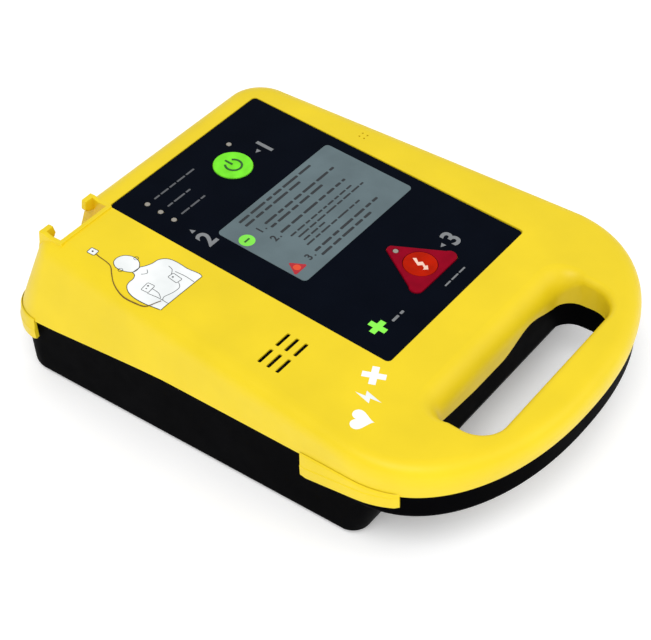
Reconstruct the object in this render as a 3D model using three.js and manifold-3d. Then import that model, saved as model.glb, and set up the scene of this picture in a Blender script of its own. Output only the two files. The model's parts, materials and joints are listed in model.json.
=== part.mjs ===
// Portable automated defibrillator: a sloping two-piece case with a carrying handle,
// a sunken keypad panel, an electrode port and a slide-in battery pack.
// Millimetres, +Z up, +X to the reader's right, +Y towards the electrode port.
// The origin is on the ground, under the middle of the case.
import * as THREE from 'three';
import { mergeVertices } from 'three/addons/utils/BufferGeometryUtils.js';
import Module from 'manifold-3d';

const wasm = await Module();
wasm.setup();

// Driving dimensions -------------------------------------------------------
const GAP = 0.3;                       // clearance between neighbouring pieces
const WALL = 2.8;                      // moulded wall of both case halves
const TOP_TILT = THREE.MathUtils.degToRad(5.5);
const TOP_REF = { y: 117, z: 86.4 };   // a point on the flat top of the case
const WAIST_Z = 42;                    // the height at which the case is widest
// The joint between the two halves: level over the handle half, lower at the port.
const PARTING = { handleZ: 46, portZ: 41, bendY: 40, endY: 123 };
const HANDLE_UNDERSIDE = 31;
const GROUND_CLEARANCE = 1;            // the tray floor stands this high on its feet

const WAIST = {
  connectorHalf: 106.1, handleHalf: 106.1, connectorEnd: 149.6,
  arcStart: -84, handleEnd: -149.5, cornerRadius: 23,
};
const SHOULDER = {
  connectorHalf: 91, handleHalf: 108.6, connectorEnd: 131,
  arcStart: -80, handleEnd: -153.9, cornerRadius: 22, portCornerRadius: 11,
};
const SHOULDER_ROUND = { side: 9, handle: 12 };
const ARC_FULLNESS = 2.2;

const PANEL = {
  origin: new THREE.Vector3(-49, -64, 68),
  tilt: THREE.MathUtils.degToRad(5.7),
  width: 122, height: 182, corner: 2.5,
  thickness: 0.8, floor: -1.1, floorWall: 2.6,
};
const GRIP = {
  halfLength: 61.5, bodySideY: -97, handleSideY: -129.5, lipZ: 50,
  bodyCorner: 11, handleCorner: 15, bodyFlare: 13, handleFlare: 4, collar: 2.6,
};
const PORT = {
  left: -85.4, right: -51, innerY: 117.8, floorZ: 50, rim: 2.6,
  hornTip: 89, hornInnerY: 127.6, hornOuterY: 130.9, hornReach: 6, hornDrop: 8.5,
};
const GUARD = { handleLow: 33, portLow: 29.5, high: 47.8, face: 1.9, seat: -0.2 };
const SPEAKER = { x: -76, y: -20.6, radius: 19, top: 66.8 };
const MICROPHONE = { x: 84, y: 48, radius: 3.2, height: 2.6 };
const BATTERY = { half: 45.6, innerY: 44, bottom: 6.6, top: 35.8 };
const LATCH = { half: 13.5, backY: 143.2, frontY: 146.4, recessHalf: 15, recessY: 138 };
const TERMINAL = { spots: [-9, 9], bladeHalf: 0.6, low: 15, high: 25, length: 9 };
const CAPACITOR = { x: -44, y: -42, z: 28, radius: 19, half: 32 };
const POWER_BOARD = { x0: 10, x1: 84, y0: -72, y1: 22, z0: 8.4, z1: 10 };
const SCREW = { shaft: 1.4, head: 3, headHeight: 2.2, bore: 1.75 };
const CLAMP_FLOOR = 6.6;                // underside of the capacitor clamp's foot
const SMALL_SCREW = { shaft: 0.9, head: 2.2, headHeight: 1.7, length: 6.6, bore: 1.2 };
const FOOT = { radius: 7, height: 2.2 };

// Heights on the panel are measured from its printed face.
const BUTTON = { top: 0.9, web: -1.6, flangeTop: -4, flangeUnder: -4.8, flange: 1.2, clearance: 0.35 };
const BOARD = { top: -9.6, thickness: 1.6 };
const ON_OFF = { x: 67.3, y: 152.9, radius: 11.05 };
const SHOCK = {
  x: 66.7, baseY: 15.6, apexY: 48.6, half: 18.2, round: 4, discY: 27.8, discRadius: 9.1, ledY: 43.4,
};
const LED = { radius: 1.5, spots: [[13.8, 167.7], [13.6, 158.2], [13.4, 148.7], [80.1, 166.4]] };
const LABEL = { x: 19.5, y: 66, width: 95.2, height: 58.5, corner: 2.6, recess: -0.55 };

// Materials ----------------------------------------------------------------
function material(color, roughness, metalness = 0) {
  return new THREE.MeshStandardMaterial({ color, roughness, metalness });
}
const FINISH = {
  yellow: material(0xf2d81e, 0.42),
  black: material(0x0c0c0e, 0.5),
  rubber: material(0x1a1a1a, 0.85),
  panel: material(0x0b1118, 0.3),
  label: material(0x66747a, 0.5),
  green: material(0x6fdc33, 0.35),
  red: material(0x94102a, 0.3),
  orange: material(0xc4280c, 0.3),
  clear: material(0xd9dedc, 0.15),
  amber: material(0xe0921c, 0.35),
  board: material(0x1d6b3a, 0.6),
  component: material(0x2a2c30, 0.6),
  steel: material(0xb9bcc0, 0.3, 1),
  aluminium: material(0xaab0b5, 0.35, 1),
  brass: material(0xc9a24a, 0.3, 1),
  copper: material(0xb06a3c, 0.4, 1),
  paper: material(0x26221e, 0.9),
  sleeve: material(0x20407a, 0.5),
  battery: material(0x141517, 0.55),
};

const device = new THREE.Group();
const panelGroup = new THREE.Group();
panelGroup.position.copy(PANEL.origin);
panelGroup.rotation.x = PANEL.tilt;
device.add(panelGroup);
panelGroup.updateMatrixWorld(true);

// Solids -------------------------------------------------------------------
function solid(geometry) {
  const plain = geometry.clone();
  plain.deleteAttribute('normal');
  plain.deleteAttribute('uv');
  const merged = mergeVertices(plain, 1e-4);
  return new wasm.Manifold(new wasm.Mesh({
    numProp: 3,
    vertProperties: Float32Array.from(merged.attributes.position.array),
    triVerts: Uint32Array.from(merged.index.array),
  }));
}

function geometryOf(shape) {
  const mesh = shape.getMesh();
  const geometry = new THREE.BufferGeometry();
  geometry.setAttribute('position', new THREE.BufferAttribute(mesh.vertProperties, 3));
  geometry.setIndex(new THREE.BufferAttribute(mesh.triVerts, 1));
  return geometry;
}

function addPiece(name, shape, finish, parent = device) {
  const geometry = shape.isBufferGeometry ? shape : geometryOf(shape);
  const mesh = new THREE.Mesh(geometry, finish);
  mesh.name = name;
  parent.add(mesh);
  return mesh;
}

function unite(...shapes) {
  return shapes.reduce((sum, shape) => sum.add(shape));
}

function cut(shape, ...tools) {
  return tools.reduce((rest, tool) => rest.subtract(tool), shape);
}

function block(x0, x1, y0, y1, z0, z1) {
  const box = new THREE.BoxGeometry(x1 - x0, y1 - y0, z1 - z0);
  box.translate((x0 + x1) / 2, (y0 + y1) / 2, (z0 + z1) / 2);
  return solid(box);
}

function post(x, y, z0, z1, radius, sides = 20) {
  const cylinder = new THREE.CylinderGeometry(radius, radius, z1 - z0, sides);
  cylinder.rotateX(Math.PI / 2);
  cylinder.translate(x, y, (z0 + z1) / 2);
  return solid(cylinder);
}

function prism(shape, z0, z1, curveSegments = 5) {
  const geometry = new THREE.ExtrudeGeometry(shape, {
    depth: z1 - z0, bevelEnabled: false, curveSegments,
  });
  geometry.translate(0, 0, z0);
  return solid(geometry);
}

// A prism whose outline is drawn in the Y-Z plane and which runs along X.
function sidePrism(points, x0, x1) {
  const shape = new THREE.Shape(points.map(([y, z]) => new THREE.Vector2(y, z)));
  const geometry = new THREE.ExtrudeGeometry(shape, { depth: x1 - x0, bevelEnabled: false });
  geometry.applyMatrix4(new THREE.Matrix4().set(0, 0, 1, x0, 1, 0, 0, 0, 0, 1, 0, 0, 0, 0, 0, 1));
  return solid(geometry);
}

function turned(profile, sides = 20) {
  const points = profile.map(([r, z]) => new THREE.Vector2(r, z));
  const geometry = new THREE.LatheGeometry(points, sides);
  geometry.rotateX(Math.PI / 2);
  return solid(geometry);
}

// Rings run counter-clockwise seen from above, from the lowest to the highest.
function loft(rings) {
  const count = rings[0].length;
  const positions = rings.flat().flatMap((p) => [p.x, p.y, p.z]);
  const faces = [];
  for (let level = 0; level < rings.length - 1; level += 1) {
    for (let i = 0; i < count; i += 1) {
      const next = (i + 1) % count;
      const [a, b] = [level * count + i, level * count + next];
      faces.push(a, b, b + count, a, b + count, a + count);
    }
  }
  const last = (rings.length - 1) * count;
  const flat = (ring) => ring.map((p) => new THREE.Vector2(p.x, p.y));
  for (const [a, b, c] of THREE.ShapeUtils.triangulateShape(flat(rings[0]), [])) {
    faces.push(c, b, a);
  }
  for (const [a, b, c] of THREE.ShapeUtils.triangulateShape(flat(rings.at(-1)), [])) {
    faces.push(last + a, last + b, last + c);
  }
  const geometry = new THREE.BufferGeometry();
  geometry.setAttribute('position', new THREE.Float32BufferAttribute(positions, 3));
  geometry.setIndex(faces);
  return solid(geometry);
}

function roundedBox(width, height, radius, x0 = 0, y0 = 0) {
  const shape = new THREE.Shape();
  shape.moveTo(x0 + radius, y0);
  shape.lineTo(x0 + width - radius, y0);
  shape.absarc(x0 + width - radius, y0 + radius, radius, -Math.PI / 2, 0);
  shape.absarc(x0 + width - radius, y0 + height - radius, radius, 0, Math.PI / 2);
  shape.absarc(x0 + radius, y0 + height - radius, radius, Math.PI / 2, Math.PI);
  shape.absarc(x0 + radius, y0 + radius, radius, Math.PI, Math.PI * 1.5);
  return shape;
}

function onPanel(shape) {
  return shape.transform([...panelGroup.matrixWorld.elements]);
}

// Case outlines ------------------------------------------------------------
function topZ(y) {
  return TOP_REF.z + (y - TOP_REF.y) * Math.tan(TOP_TILT);
}

// Half the case's plan, from the middle of the handle round to the port end.
function halfOutline(spec, grow, cornerRadius) {
  const cornerSteps = 4;
  const sideSteps = 2;
  const arcSteps = 10;
  const handleHalf = spec.handleHalf + grow;
  const connectorHalf = spec.connectorHalf + grow;
  const radius = Math.max(cornerRadius + grow, 2);
  const end = spec.connectorEnd + grow;
  const depth = spec.arcStart - spec.handleEnd + grow;
  const right = [];
  for (let i = 0; i < arcSteps; i += 1) {
    const angle = (Math.PI / 2) * (1 - i / arcSteps);
    right.push(new THREE.Vector2(
      handleHalf * Math.cos(angle) ** (2 / ARC_FULLNESS),
      spec.arcStart - depth * Math.sin(angle) ** (2 / ARC_FULLNESS),
    ));
  }
  for (let i = 0; i < sideSteps; i += 1) {
    const t = i / sideSteps;
    right.push(new THREE.Vector2(
      handleHalf + (connectorHalf - handleHalf) * t,
      spec.arcStart + (end - radius - spec.arcStart) * t,
    ));
  }
  for (let i = 0; i <= cornerSteps; i += 1) {
    const angle = (Math.PI / 2) * (i / cornerSteps);
    right.push(new THREE.Vector2(
      connectorHalf - radius + radius * Math.cos(angle),
      end - radius + radius * Math.sin(angle),
    ));
  }
  right[0].x = 0;
  return right;
}

// The whole plan, anticlockwise from the middle of the handle.
function outline(spec, grow = 0) {
  const right = halfOutline(spec, grow, spec.cornerRadius);
  const left = halfOutline(spec, grow, spec.portCornerRadius ?? spec.cornerRadius);
  return [...right, ...left.slice(1).reverse().map((p) => new THREE.Vector2(-p.x, p.y))];
}

function level(points, height) {
  return points.map((p) => new THREE.Vector3(p.x, p.y, height(p)));
}

// How far the flat top stays inside the shoulder, more at the handle than along the sides.
function shoulderRound(y) {
  const t = THREE.MathUtils.smoothstep(-y, 60, 140);
  return THREE.MathUtils.lerp(SHOULDER_ROUND.side, SHOULDER_ROUND.handle, t);
}

// The upper shape of the case: a wall that leans from the waist to the shoulder,
// a rounded shoulder and the flat sloping top. Grow moves the whole skin outward.
function upperBody(grow = 0, roundSteps = 4) {
  const waist = outline(WAIST, grow);
  const corner = outline(SHOULDER, grow);
  const inner = outline({
    ...SHOULDER,
    connectorHalf: SHOULDER.connectorHalf - SHOULDER_ROUND.side,
    handleHalf: SHOULDER.handleHalf - SHOULDER_ROUND.side,
    connectorEnd: SHOULDER.connectorEnd - SHOULDER_ROUND.side,
    handleEnd: SHOULDER.handleEnd + SHOULDER_ROUND.handle,
    cornerRadius: SHOULDER.cornerRadius - SHOULDER_ROUND.side,
    portCornerRadius: SHOULDER.portCornerRadius - SHOULDER_ROUND.side,
  }, grow);
  const top = (p) => topZ(p.y) + grow;
  const startDrop = (y) => shoulderRound(y) * 1.1;
  const wallPoint = (i, z) => {
    const t = (z - WAIST_Z) / (top(corner[i]) - WAIST_Z);
    return new THREE.Vector3(
      THREE.MathUtils.lerp(waist[i].x, corner[i].x, t),
      THREE.MathUtils.lerp(waist[i].y, corner[i].y, t),
      z,
    );
  };
  const rings = [level(waist, () => 30), level(waist, () => WAIST_Z)];
  for (let step = 0; step <= roundSteps; step += 1) {
    const t = step / roundSteps;
    rings.push(waist.map((_, i) => {
      const start = wallPoint(i, top(corner[i]) - startDrop(corner[i].y));
      const knee = new THREE.Vector3(corner[i].x, corner[i].y, top(corner[i]));
      const finish = new THREE.Vector3(inner[i].x, inner[i].y, top(inner[i]));
      return new THREE.QuadraticBezierCurve3(start, knee, finish).getPoint(t);
    }));
  }
  return loft(rings);
}

// Everything above (or below) the joint between the case halves.
function partingWedge(above, shift) {
  const { bendY, endY } = PARTING;
  const high = PARTING.handleZ + shift;
  const low = PARTING.portZ + shift;
  const far = 200;
  const edge = above ? 200 : -100;
  const profile = [[-far, high], [bendY, high], [endY, low], [far, low], [far, edge], [-far, edge]];
  return sidePrism(profile.reverse(), -far, far);
}

// The grip opening: a rounded slot, growing outward by a distance that may vary with direction.
function gripRing(growAt, height) {
  const corners = [
    [1, -1, GRIP.handleCorner, -90], [1, 1, GRIP.bodyCorner, 0],
    [-1, 1, GRIP.bodyCorner, 90], [-1, -1, GRIP.handleCorner, 180],
  ];
  const steps = 5;
  const ring = [];
  for (const [sx, sy, radius, from] of corners) {
    const centreX = sx * (GRIP.halfLength - radius);
    const edgeY = sy > 0 ? GRIP.bodySideY : GRIP.handleSideY;
    const centreY = edgeY - sy * radius;
    for (let i = 0; i <= steps; i += 1) {
      const angle = THREE.MathUtils.degToRad(from + (90 * i) / steps);
      const reach = radius + growAt(angle);
      const x = centreX + reach * Math.cos(angle);
      const y = centreY + reach * Math.sin(angle);
      ring.push(new THREE.Vector3(x, y, height(y, angle)));
    }
  }
  return ring;
}

function gripColumn(grow, z0, z1) {
  return loft([gripRing(() => grow, () => z0), gripRing(() => grow, () => z1)]);
}

function flareAt(angle) {
  const facing = Math.max(Math.sin(angle), 0);
  return THREE.MathUtils.lerp(GRIP.handleFlare, GRIP.bodyFlare, facing);
}

function gripCutter() {
  const steps = 4;
  const rings = [gripRing(() => 0, () => 20), gripRing(() => 0, () => GRIP.lipZ)];
  for (let i = 1; i <= steps; i += 1) {
    const turn = (Math.PI / 2) * (i / steps);
    rings.push(gripRing(
      (angle) => flareAt(angle) * (1 - Math.cos(turn)),
      (y, angle) => topZ(y) - flareAt(angle) * 1.15 * (1 - Math.sin(turn)),
    ));
  }
  rings.push(gripRing(flareAt, () => 120));
  return loft(rings);
}

// Case fasteners: four down the tray's corners, two under the handle.
const TRAY_SCREWS = [[-90, 118], [90, 118], [-92, -62], [92, -62]]
  .map(([x, y]) => ({ x, y, seat: 30, tip: 54 }));
const HANDLE_SCREWS = [[-40, -134.5], [40, -134.5]].map(([x, y]) => ({ x, y, seat: 39, tip: 56 }));
const CASE_SCREWS = [...TRAY_SCREWS, ...HANDLE_SCREWS];
const BOARD_SCREWS = [[10, 14], [112, 14], [10, 172], [112, 172]];

// Yellow upper half ---------------------------------------------------------
function speakerSlots() {
  const slots = [];
  for (const [x0, x1] of [[-88.6, -77.8], [-74.6, -64.2]]) {
    for (const y of [-15.1, -20.6, -26.1]) {
      slots.push(block(x0, x1, y - 0.85, y + 0.85, 55, 100));
    }
  }
  return slots;
}

function microphoneHoles() {
  const spots = [[-1.6, -1.6], [1.6, -1.6], [-1.6, 1.6], [1.6, 1.6]];
  return spots.map(([dx, dy]) => post(MICROPHONE.x + dx, MICROPHONE.y + dy, 60, 100, 0.6, 8));
}

// The lip round three sides of the electrode port, rising to a horn at the end of each side.
function portRim() {
  const { hornInnerY, hornOuterY, hornTip } = PORT;
  const y0 = PORT.innerY - PORT.rim;
  const lip = topZ(y0) + 1;
  const cheek = [
    [y0, 70], [hornOuterY + 5, 70], [hornOuterY + 1.4, 81], [hornOuterY, hornTip],
    [hornInnerY, hornTip], [hornInnerY - 1.6, lip + 0.9], [hornInnerY - 4, lip], [y0, lip],
  ].reverse();
  return unite(
    sidePrism(cheek, PORT.left - PORT.rim, PORT.left),
    sidePrism(cheek, PORT.right, PORT.right + PORT.rim - GAP),
    block(PORT.left - PORT.rim, PORT.right + PORT.rim - GAP, y0, PORT.innerY, 70, lip),
  );
}

// The ends of the horns, turned in over the port to guide the plug.
function portHorns() {
  const { left, right, hornInnerY, hornOuterY, hornTip, hornReach, hornDrop } = PORT;
  const low = hornTip - hornDrop;
  const bite = 1;
  return unite(
    block(left - bite, left + hornReach, hornInnerY, hornOuterY, low, hornTip),
    block(right - hornReach, right + bite, hornInnerY, hornOuterY, low, hornTip),
  );
}

function portWalls() {
  const wall = PORT.rim;
  return block(PORT.left - wall, PORT.right + wall, PORT.innerY - wall, 170, PORT.floorZ - wall, 100);
}

function portCutter() {
  return block(PORT.left, PORT.right, PORT.innerY, 170, PORT.floorZ, 110);
}

function panelOpenings() {
  const openings = [
    post(ON_OFF.x, ON_OFF.y, -8, 4, ON_OFF.radius + BUTTON.clearance, 32),
    prism(shockOutline(BUTTON.clearance), -8, 4),
  ];
  for (const [x, y] of LED.spots) {
    openings.push(post(x, y, -8, 4, LED.radius + GAP, 12));
  }
  return openings;
}

function panelPocket() {
  const shape = roundedBox(PANEL.width + 2 * GAP, PANEL.height + 2 * GAP, PANEL.corner, -GAP, -GAP);
  return onPanel(prism(shape, PANEL.floor, 30));
}

function panelCup() {
  const low = PANEL.floor - PANEL.floorWall;
  return onPanel(block(-WALL, PANEL.width + WALL, -WALL, PANEL.height + WALL, low, 40));
}

function frontHousing() {
  const bosses = CASE_SCREWS.map(({ x, y }) => post(x, y, 30, 95, 3.6, 12));
  const boardPosts = BOARD_SCREWS.map(([x, y]) => onPanel(post(x, y, BOARD.top + GAP, 0, 3.2, 12)));
  const hollow = cut(
    upperBody(-WALL, 3),
    gripColumn(GRIP.collar + GAP + WALL, 0, 120),
    gripShoulder(),
    panelCup(),
    portWalls(),
    ...bosses,
    ...boardPosts,
  );
  const pilots = CASE_SCREWS.map(({ x, y, tip }) => post(x, y, 20, tip + 1, SCREW.bore, 8));
  const boardPilots = BOARD_SCREWS.map(([x, y]) => onPanel(post(x, y, -12, -4, SMALL_SCREW.bore, 10)));
  const shell = cut(
    unite(cut(upperBody(), hollow), cut(portRim(), hollow)),
    partingWedge(false, GAP / 2),
    gripCutter(),
    gripColumn(GRIP.collar + GAP, 0, GRIP.lipZ + GAP / 2),
    portCutter(),
    panelPocket(),
    ...panelOpenings().map(onPanel),
    ...speakerSlots(),
    ...microphoneHoles(),
    ...pilots,
    ...boardPilots,
  );
  return unite(shell, portHorns());
}

// Material kept behind the flared mouth of the grip opening.
function gripShoulder() {
  const grow = (angle) => flareAt(angle) + WALL;
  return loft([gripRing(grow, () => GRIP.lipZ - 2), gripRing(grow, () => 120)]);
}

// Black lower half ----------------------------------------------------------
function trayRing(z, inset) {
  const rise = (z - GROUND_CLEARANCE) / (WAIST_Z - GROUND_CLEARANCE);
  const half = THREE.MathUtils.lerp(102.3, 105, rise) - inset;
  const far = THREE.MathUtils.lerp(147.2, 148.2, rise) - inset;
  const near = THREE.MathUtils.lerp(-81, -100.5, rise) + inset;
  const farRadius = THREE.MathUtils.lerp(16, 22, rise) - inset;
  const nearRadius = 9;
  const shape = new THREE.Shape();
  shape.absarc(half - nearRadius, near + nearRadius, nearRadius, -Math.PI / 2, 0);
  shape.absarc(half - farRadius, far - farRadius, farRadius, 0, Math.PI / 2);
  shape.absarc(farRadius - half, far - farRadius, farRadius, Math.PI / 2, Math.PI);
  shape.absarc(nearRadius - half, near + nearRadius, nearRadius, Math.PI, Math.PI * 1.5);
  const points = shape.getPoints(4).slice(0, -1);
  return level(points, () => z);
}

function tray(inset = 0, floor = GROUND_CLEARANCE) {
  const edge = [[0, 2.6], [0.7, 1.1], [1.7, 0.3], [3.2, 0]];
  const rings = edge.map(([rise, pull]) => trayRing(floor + rise, inset + pull));
  return loft([...rings, trayRing(60, inset)]);
}

function handleSkirt(inset, underside) {
  const rings = [[0, 2.9], [1, 1.4], [3.4, 0.5], [30, 0.5]]
    .map(([rise, pull]) => level(outline(WAIST, -inset - pull), () => underside + rise));
  return loft(rings).intersect(block(-150, 150, -200, -70 - inset, 0, 100));
}

function screwWells() {
  const wells = TRAY_SCREWS.map(({ x, y, seat }) => post(x, y, -2, seat, SCREW.head + 0.6, 12));
  const shallow = HANDLE_SCREWS.map(({ x, y, seat }) => post(x, y, 20, seat, SCREW.head + 0.4, 12));
  const bores = CASE_SCREWS.map(({ x, y }) => post(x, y, 0, 60, SCREW.bore, 8));
  return [...wells, ...shallow, ...bores];
}

function batteryWell(grow, innerY) {
  const { half, bottom, top } = BATTERY;
  return block(-half - grow, half + grow, innerY, 170, bottom - grow, top + grow);
}

const FOOT_SPOTS = [[-80, 112], [80, 112], [-80, -56], [80, -56]];
const POWER_BOARD_SCREWS = [[14, -68], [80, -68], [14, 18], [80, 18]];
const CLAMP_SCREWS = [[-44, -68], [-44, -16]];

function contactSlots(grow) {
  const half = TERMINAL.bladeHalf + grow;
  return TERMINAL.spots.map((x) => block(
    x - half, x + half, BATTERY.innerY - 14, BATTERY.innerY + 8 + grow,
    TERMINAL.low - grow, TERMINAL.high + grow,
  ));
}

// Posts on the tray's floor that carry the power board and the capacitor clamp.
function standoffs() {
  const boardPosts = POWER_BOARD_SCREWS.map(([x, y]) => post(x, y, 2, POWER_BOARD.z0 - GAP, 3, 12));
  const clampPosts = CLAMP_SCREWS.map(([x, y]) => post(x, y, 2, CLAMP_FLOOR - GAP, 4, 12));
  const pilots = [...POWER_BOARD_SCREWS, ...CLAMP_SCREWS]
    .map(([x, y]) => post(x, y, GROUND_CLEARANCE + 1.4, 12, SMALL_SCREW.bore, 8));
  return { posts: [...boardPosts, ...clampPosts], pilots };
}

function rearHousing() {
  const stands = standoffs();
  const tubes = TRAY_SCREWS.map(({ x, y }) => post(x, y, 0, 60, 5.2, 12));
  const handleTubes = HANDLE_SCREWS.map(({ x, y }) => post(x, y, 30, 60, 4.4, 12));
  const hollow = cut(
    unite(tray(WALL, GROUND_CLEARANCE + WALL), handleSkirt(WALL, HANDLE_UNDERSIDE + WALL)),
    gripColumn(GRIP.collar, 0, 120),
    batteryWell(GAP + WALL, BATTERY.innerY - GAP - WALL),
    ...tubes,
    ...handleTubes,
    ...stands.posts,
  );
  const skin = unite(tray(), handleSkirt(0, HANDLE_UNDERSIDE));
  const collar = gripColumn(GRIP.collar, HANDLE_UNDERSIDE, GRIP.lipZ - GAP / 2);
  return cut(
    unite(cut(skin, hollow, partingWedge(true, -GAP / 2)), collar),
    gripColumn(0, 0, 120),
    batteryWell(GAP, BATTERY.innerY - GAP),
    ...contactSlots(GAP),
    ...screwWells(),
    ...stands.pilots,
    ...FOOT_SPOTS.map(([x, y]) => post(x, y, -2, FOOT.height + GAP, FOOT.radius + GAP, 14)),
  );
}

// Yellow corner guards, wrapped round the joint of the case ------------------
function cornerGuards() {
  const { handleLow, portLow, high, face, seat } = GUARD;
  const ring = (grow, z) => level(outline(WAIST, grow), () => z);
  const band = (low) => cut(
    loft([ring(face - 0.6, low), ring(face, low + 1), ring(face, high - 2.6), ring(-0.6, high + 1)]),
    upperBody(GAP),
    loft([ring(seat, 20), ring(seat, WAIST_Z)]),
  );
  const zones = {
    corner_guard_handle_left: block(-130, -60, -107, -52, 20, 60),
    corner_guard_handle_right: block(60, 130, -107, -52, 20, 60),
    corner_guard_port_left: block(-130, -62, 124.5, 170, 20, 60),
    corner_guard_port_right: block(62, 130, 124.5, 170, 20, 60),
  };
  for (const [name, zone] of Object.entries(zones)) {
    const low = name.includes('handle') ? handleLow : portLow;
    addPiece(name, band(low).intersect(zone), FINISH.yellow);
  }
}

// Keypad panel ---------------------------------------------------------------
// A triangle with rounded corners, grown outward by the given distance.
function shockOutline(grow) {
  const r = SHOCK.round;
  const lean = Math.atan2(SHOCK.apexY - SHOCK.baseY, SHOCK.half);
  const turn = Math.PI - lean;
  const reach = r / Math.tan(lean / 2);
  const lowX = SHOCK.half - reach + r * 0.9;
  const tipY = SHOCK.apexY - r;
  const side = Math.PI / 2 - turn + Math.PI / 2;
  const shape = new THREE.Shape();
  shape.absarc(SHOCK.x + lowX, SHOCK.baseY + r, r + grow, -Math.PI / 2, side);
  shape.absarc(SHOCK.x, tipY, r + grow, side, Math.PI - side);
  shape.absarc(SHOCK.x - lowX, SHOCK.baseY + r, r + grow, Math.PI - side, Math.PI * 1.5);
  return shape;
}

function keypad() {
  const { x, y, width, height, corner, recess } = LABEL;
  const sheet = prism(roundedBox(PANEL.width, PANEL.height, PANEL.corner), -PANEL.thickness, 0);
  const bed = roundedBox(width + 2 * GAP, height + 2 * GAP, corner + GAP, x - GAP, y - GAP);
  const membrane = cut(sheet, prism(bed, recess, 2), ...panelOpenings());
  addPiece('membrane_panel', membrane, FINISH.panel, panelGroup);
  const label = prism(roundedBox(width, height, corner, x, y), recess + GAP, 0.05);
  addPiece('instruction_label', label, FINISH.label, panelGroup);
  const names = ['status_led_upper', 'status_led_middle', 'status_led_lower', 'power_led'];
  LED.spots.forEach(([spotX, spotY], i) => {
    addPiece(names[i], post(spotX, spotY, -4.4, 0.2, LED.radius, 12), FINISH.clear, panelGroup);
  });
}

// Both buttons are caps with a flange behind the case and a stem over their switch.
function onOffButton() {
  const { top, web, flangeTop, flangeUnder, flange } = BUTTON;
  const rim = ON_OFF.radius;
  const cap = turned([
    [0, flangeUnder], [3, flangeUnder], [3, web], [rim - 1.5, web], [rim - 1.5, flangeUnder],
    [rim + flange, flangeUnder], [rim + flange, flangeTop], [rim, flangeTop],
    [rim, top - 0.4], [rim - 0.5, top], [0, top],
  ], 28);
  addPiece('on_off_button', cap.translate([ON_OFF.x, ON_OFF.y, 0]), FINISH.green, panelGroup);
}

function shockButton() {
  const { top, web, flangeTop, flangeUnder, flange } = BUTTON;
  const lensSeat = -0.9;
  const cap = cut(
    unite(prism(shockOutline(0), flangeUnder, top), prism(shockOutline(flange), flangeUnder, flangeTop)),
    cut(prism(shockOutline(-1.5), -8, web), post(SHOCK.x, SHOCK.discY, -9, 0, 4, 16)),
    post(SHOCK.x, SHOCK.discY, lensSeat, 5, SHOCK.discRadius + GAP, 32),
    post(SHOCK.x, SHOCK.ledY, -8, 5, LED.radius + GAP, 12),
  );
  addPiece('shock_button', cap, FINISH.red, panelGroup);
  const lens = post(SHOCK.x, SHOCK.discY, lensSeat + GAP, top + 0.25, SHOCK.discRadius, 32);
  addPiece('shock_button_lens', lens, FINISH.orange, panelGroup);
  addPiece('shock_led', post(SHOCK.x, SHOCK.ledY, -2.2, top + 0.2, LED.radius, 12), FINISH.clear, panelGroup);
}

function smallScrew(name, x, y, z, parent = device) {
  const { shaft, head, headHeight, length } = SMALL_SCREW;
  const profile = [
    [0, -headHeight - GAP], [head, -headHeight - GAP], [head, -GAP],
    [shaft, -GAP], [shaft, length], [0, length],
  ];
  addPiece(name, turned(profile, 8).translate([x, y, z]), FINISH.steel, parent);
}

function tactSwitch(name, x, y) {
  const body = block(x - 3, x + 3, y - 3, y + 3, BOARD.top + GAP, BOARD.top + 2.6);
  const plunger = post(x, y, BOARD.top + 2, BOARD.top + 3.7, 1.6, 12);
  addPiece(name, unite(body, plunger), FINISH.component, panelGroup);
}

function mainBoard() {
  const low = BOARD.top - BOARD.thickness;
  const sheet = block(5, PANEL.width - 5, 8, PANEL.height - 5, low, BOARD.top);
  const holes = BOARD_SCREWS.map(([x, y]) => post(x, y, -20, 0, SMALL_SCREW.bore, 10));
  addPiece('main_board', cut(sheet, ...holes), FINISH.board, panelGroup);
  BOARD_SCREWS.forEach(([x, y], i) => smallScrew(`board_screw_${i + 1}`, x, y, low, panelGroup));
  tactSwitch('on_off_switch', ON_OFF.x, ON_OFF.y);
  tactSwitch('shock_switch', SHOCK.x, SHOCK.discY);
}

// Parts inside the case --------------------------------------------------------
function soundParts() {
  const { x, y, radius, top } = SPEAKER;
  const at = (shape) => shape.translate([x, y, top]);
  const frame = turned([
    [0, -14], [8, -14], [8, -9], [11, -9], [radius, -1], [radius, 0], [17, 0], [17, -1], [9, -7], [0, -7],
  ], 16);
  const cone = turned([[0, -5.6], [5, -5.6], [16, 0.2], [16, 0.8], [5, -5], [0, -5]], 16);
  const gasket = turned([[17.2, 0.3], [radius, 0.3], [radius, 1.3], [17.2, 1.3], [17.2, 0.3]], 20);
  addPiece('speaker_frame', at(frame), FINISH.steel);
  addPiece('speaker_cone', at(cone), FINISH.paper);
  addPiece('speaker_gasket', at(gasket), FINISH.rubber);
  const roof = topZ(MICROPHONE.y) - WALL - 0.8;
  const capsule = post(MICROPHONE.x, MICROPHONE.y, roof - MICROPHONE.height, roof, MICROPHONE.radius, 16);
  addPiece('microphone', capsule, FINISH.steel);
}

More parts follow.
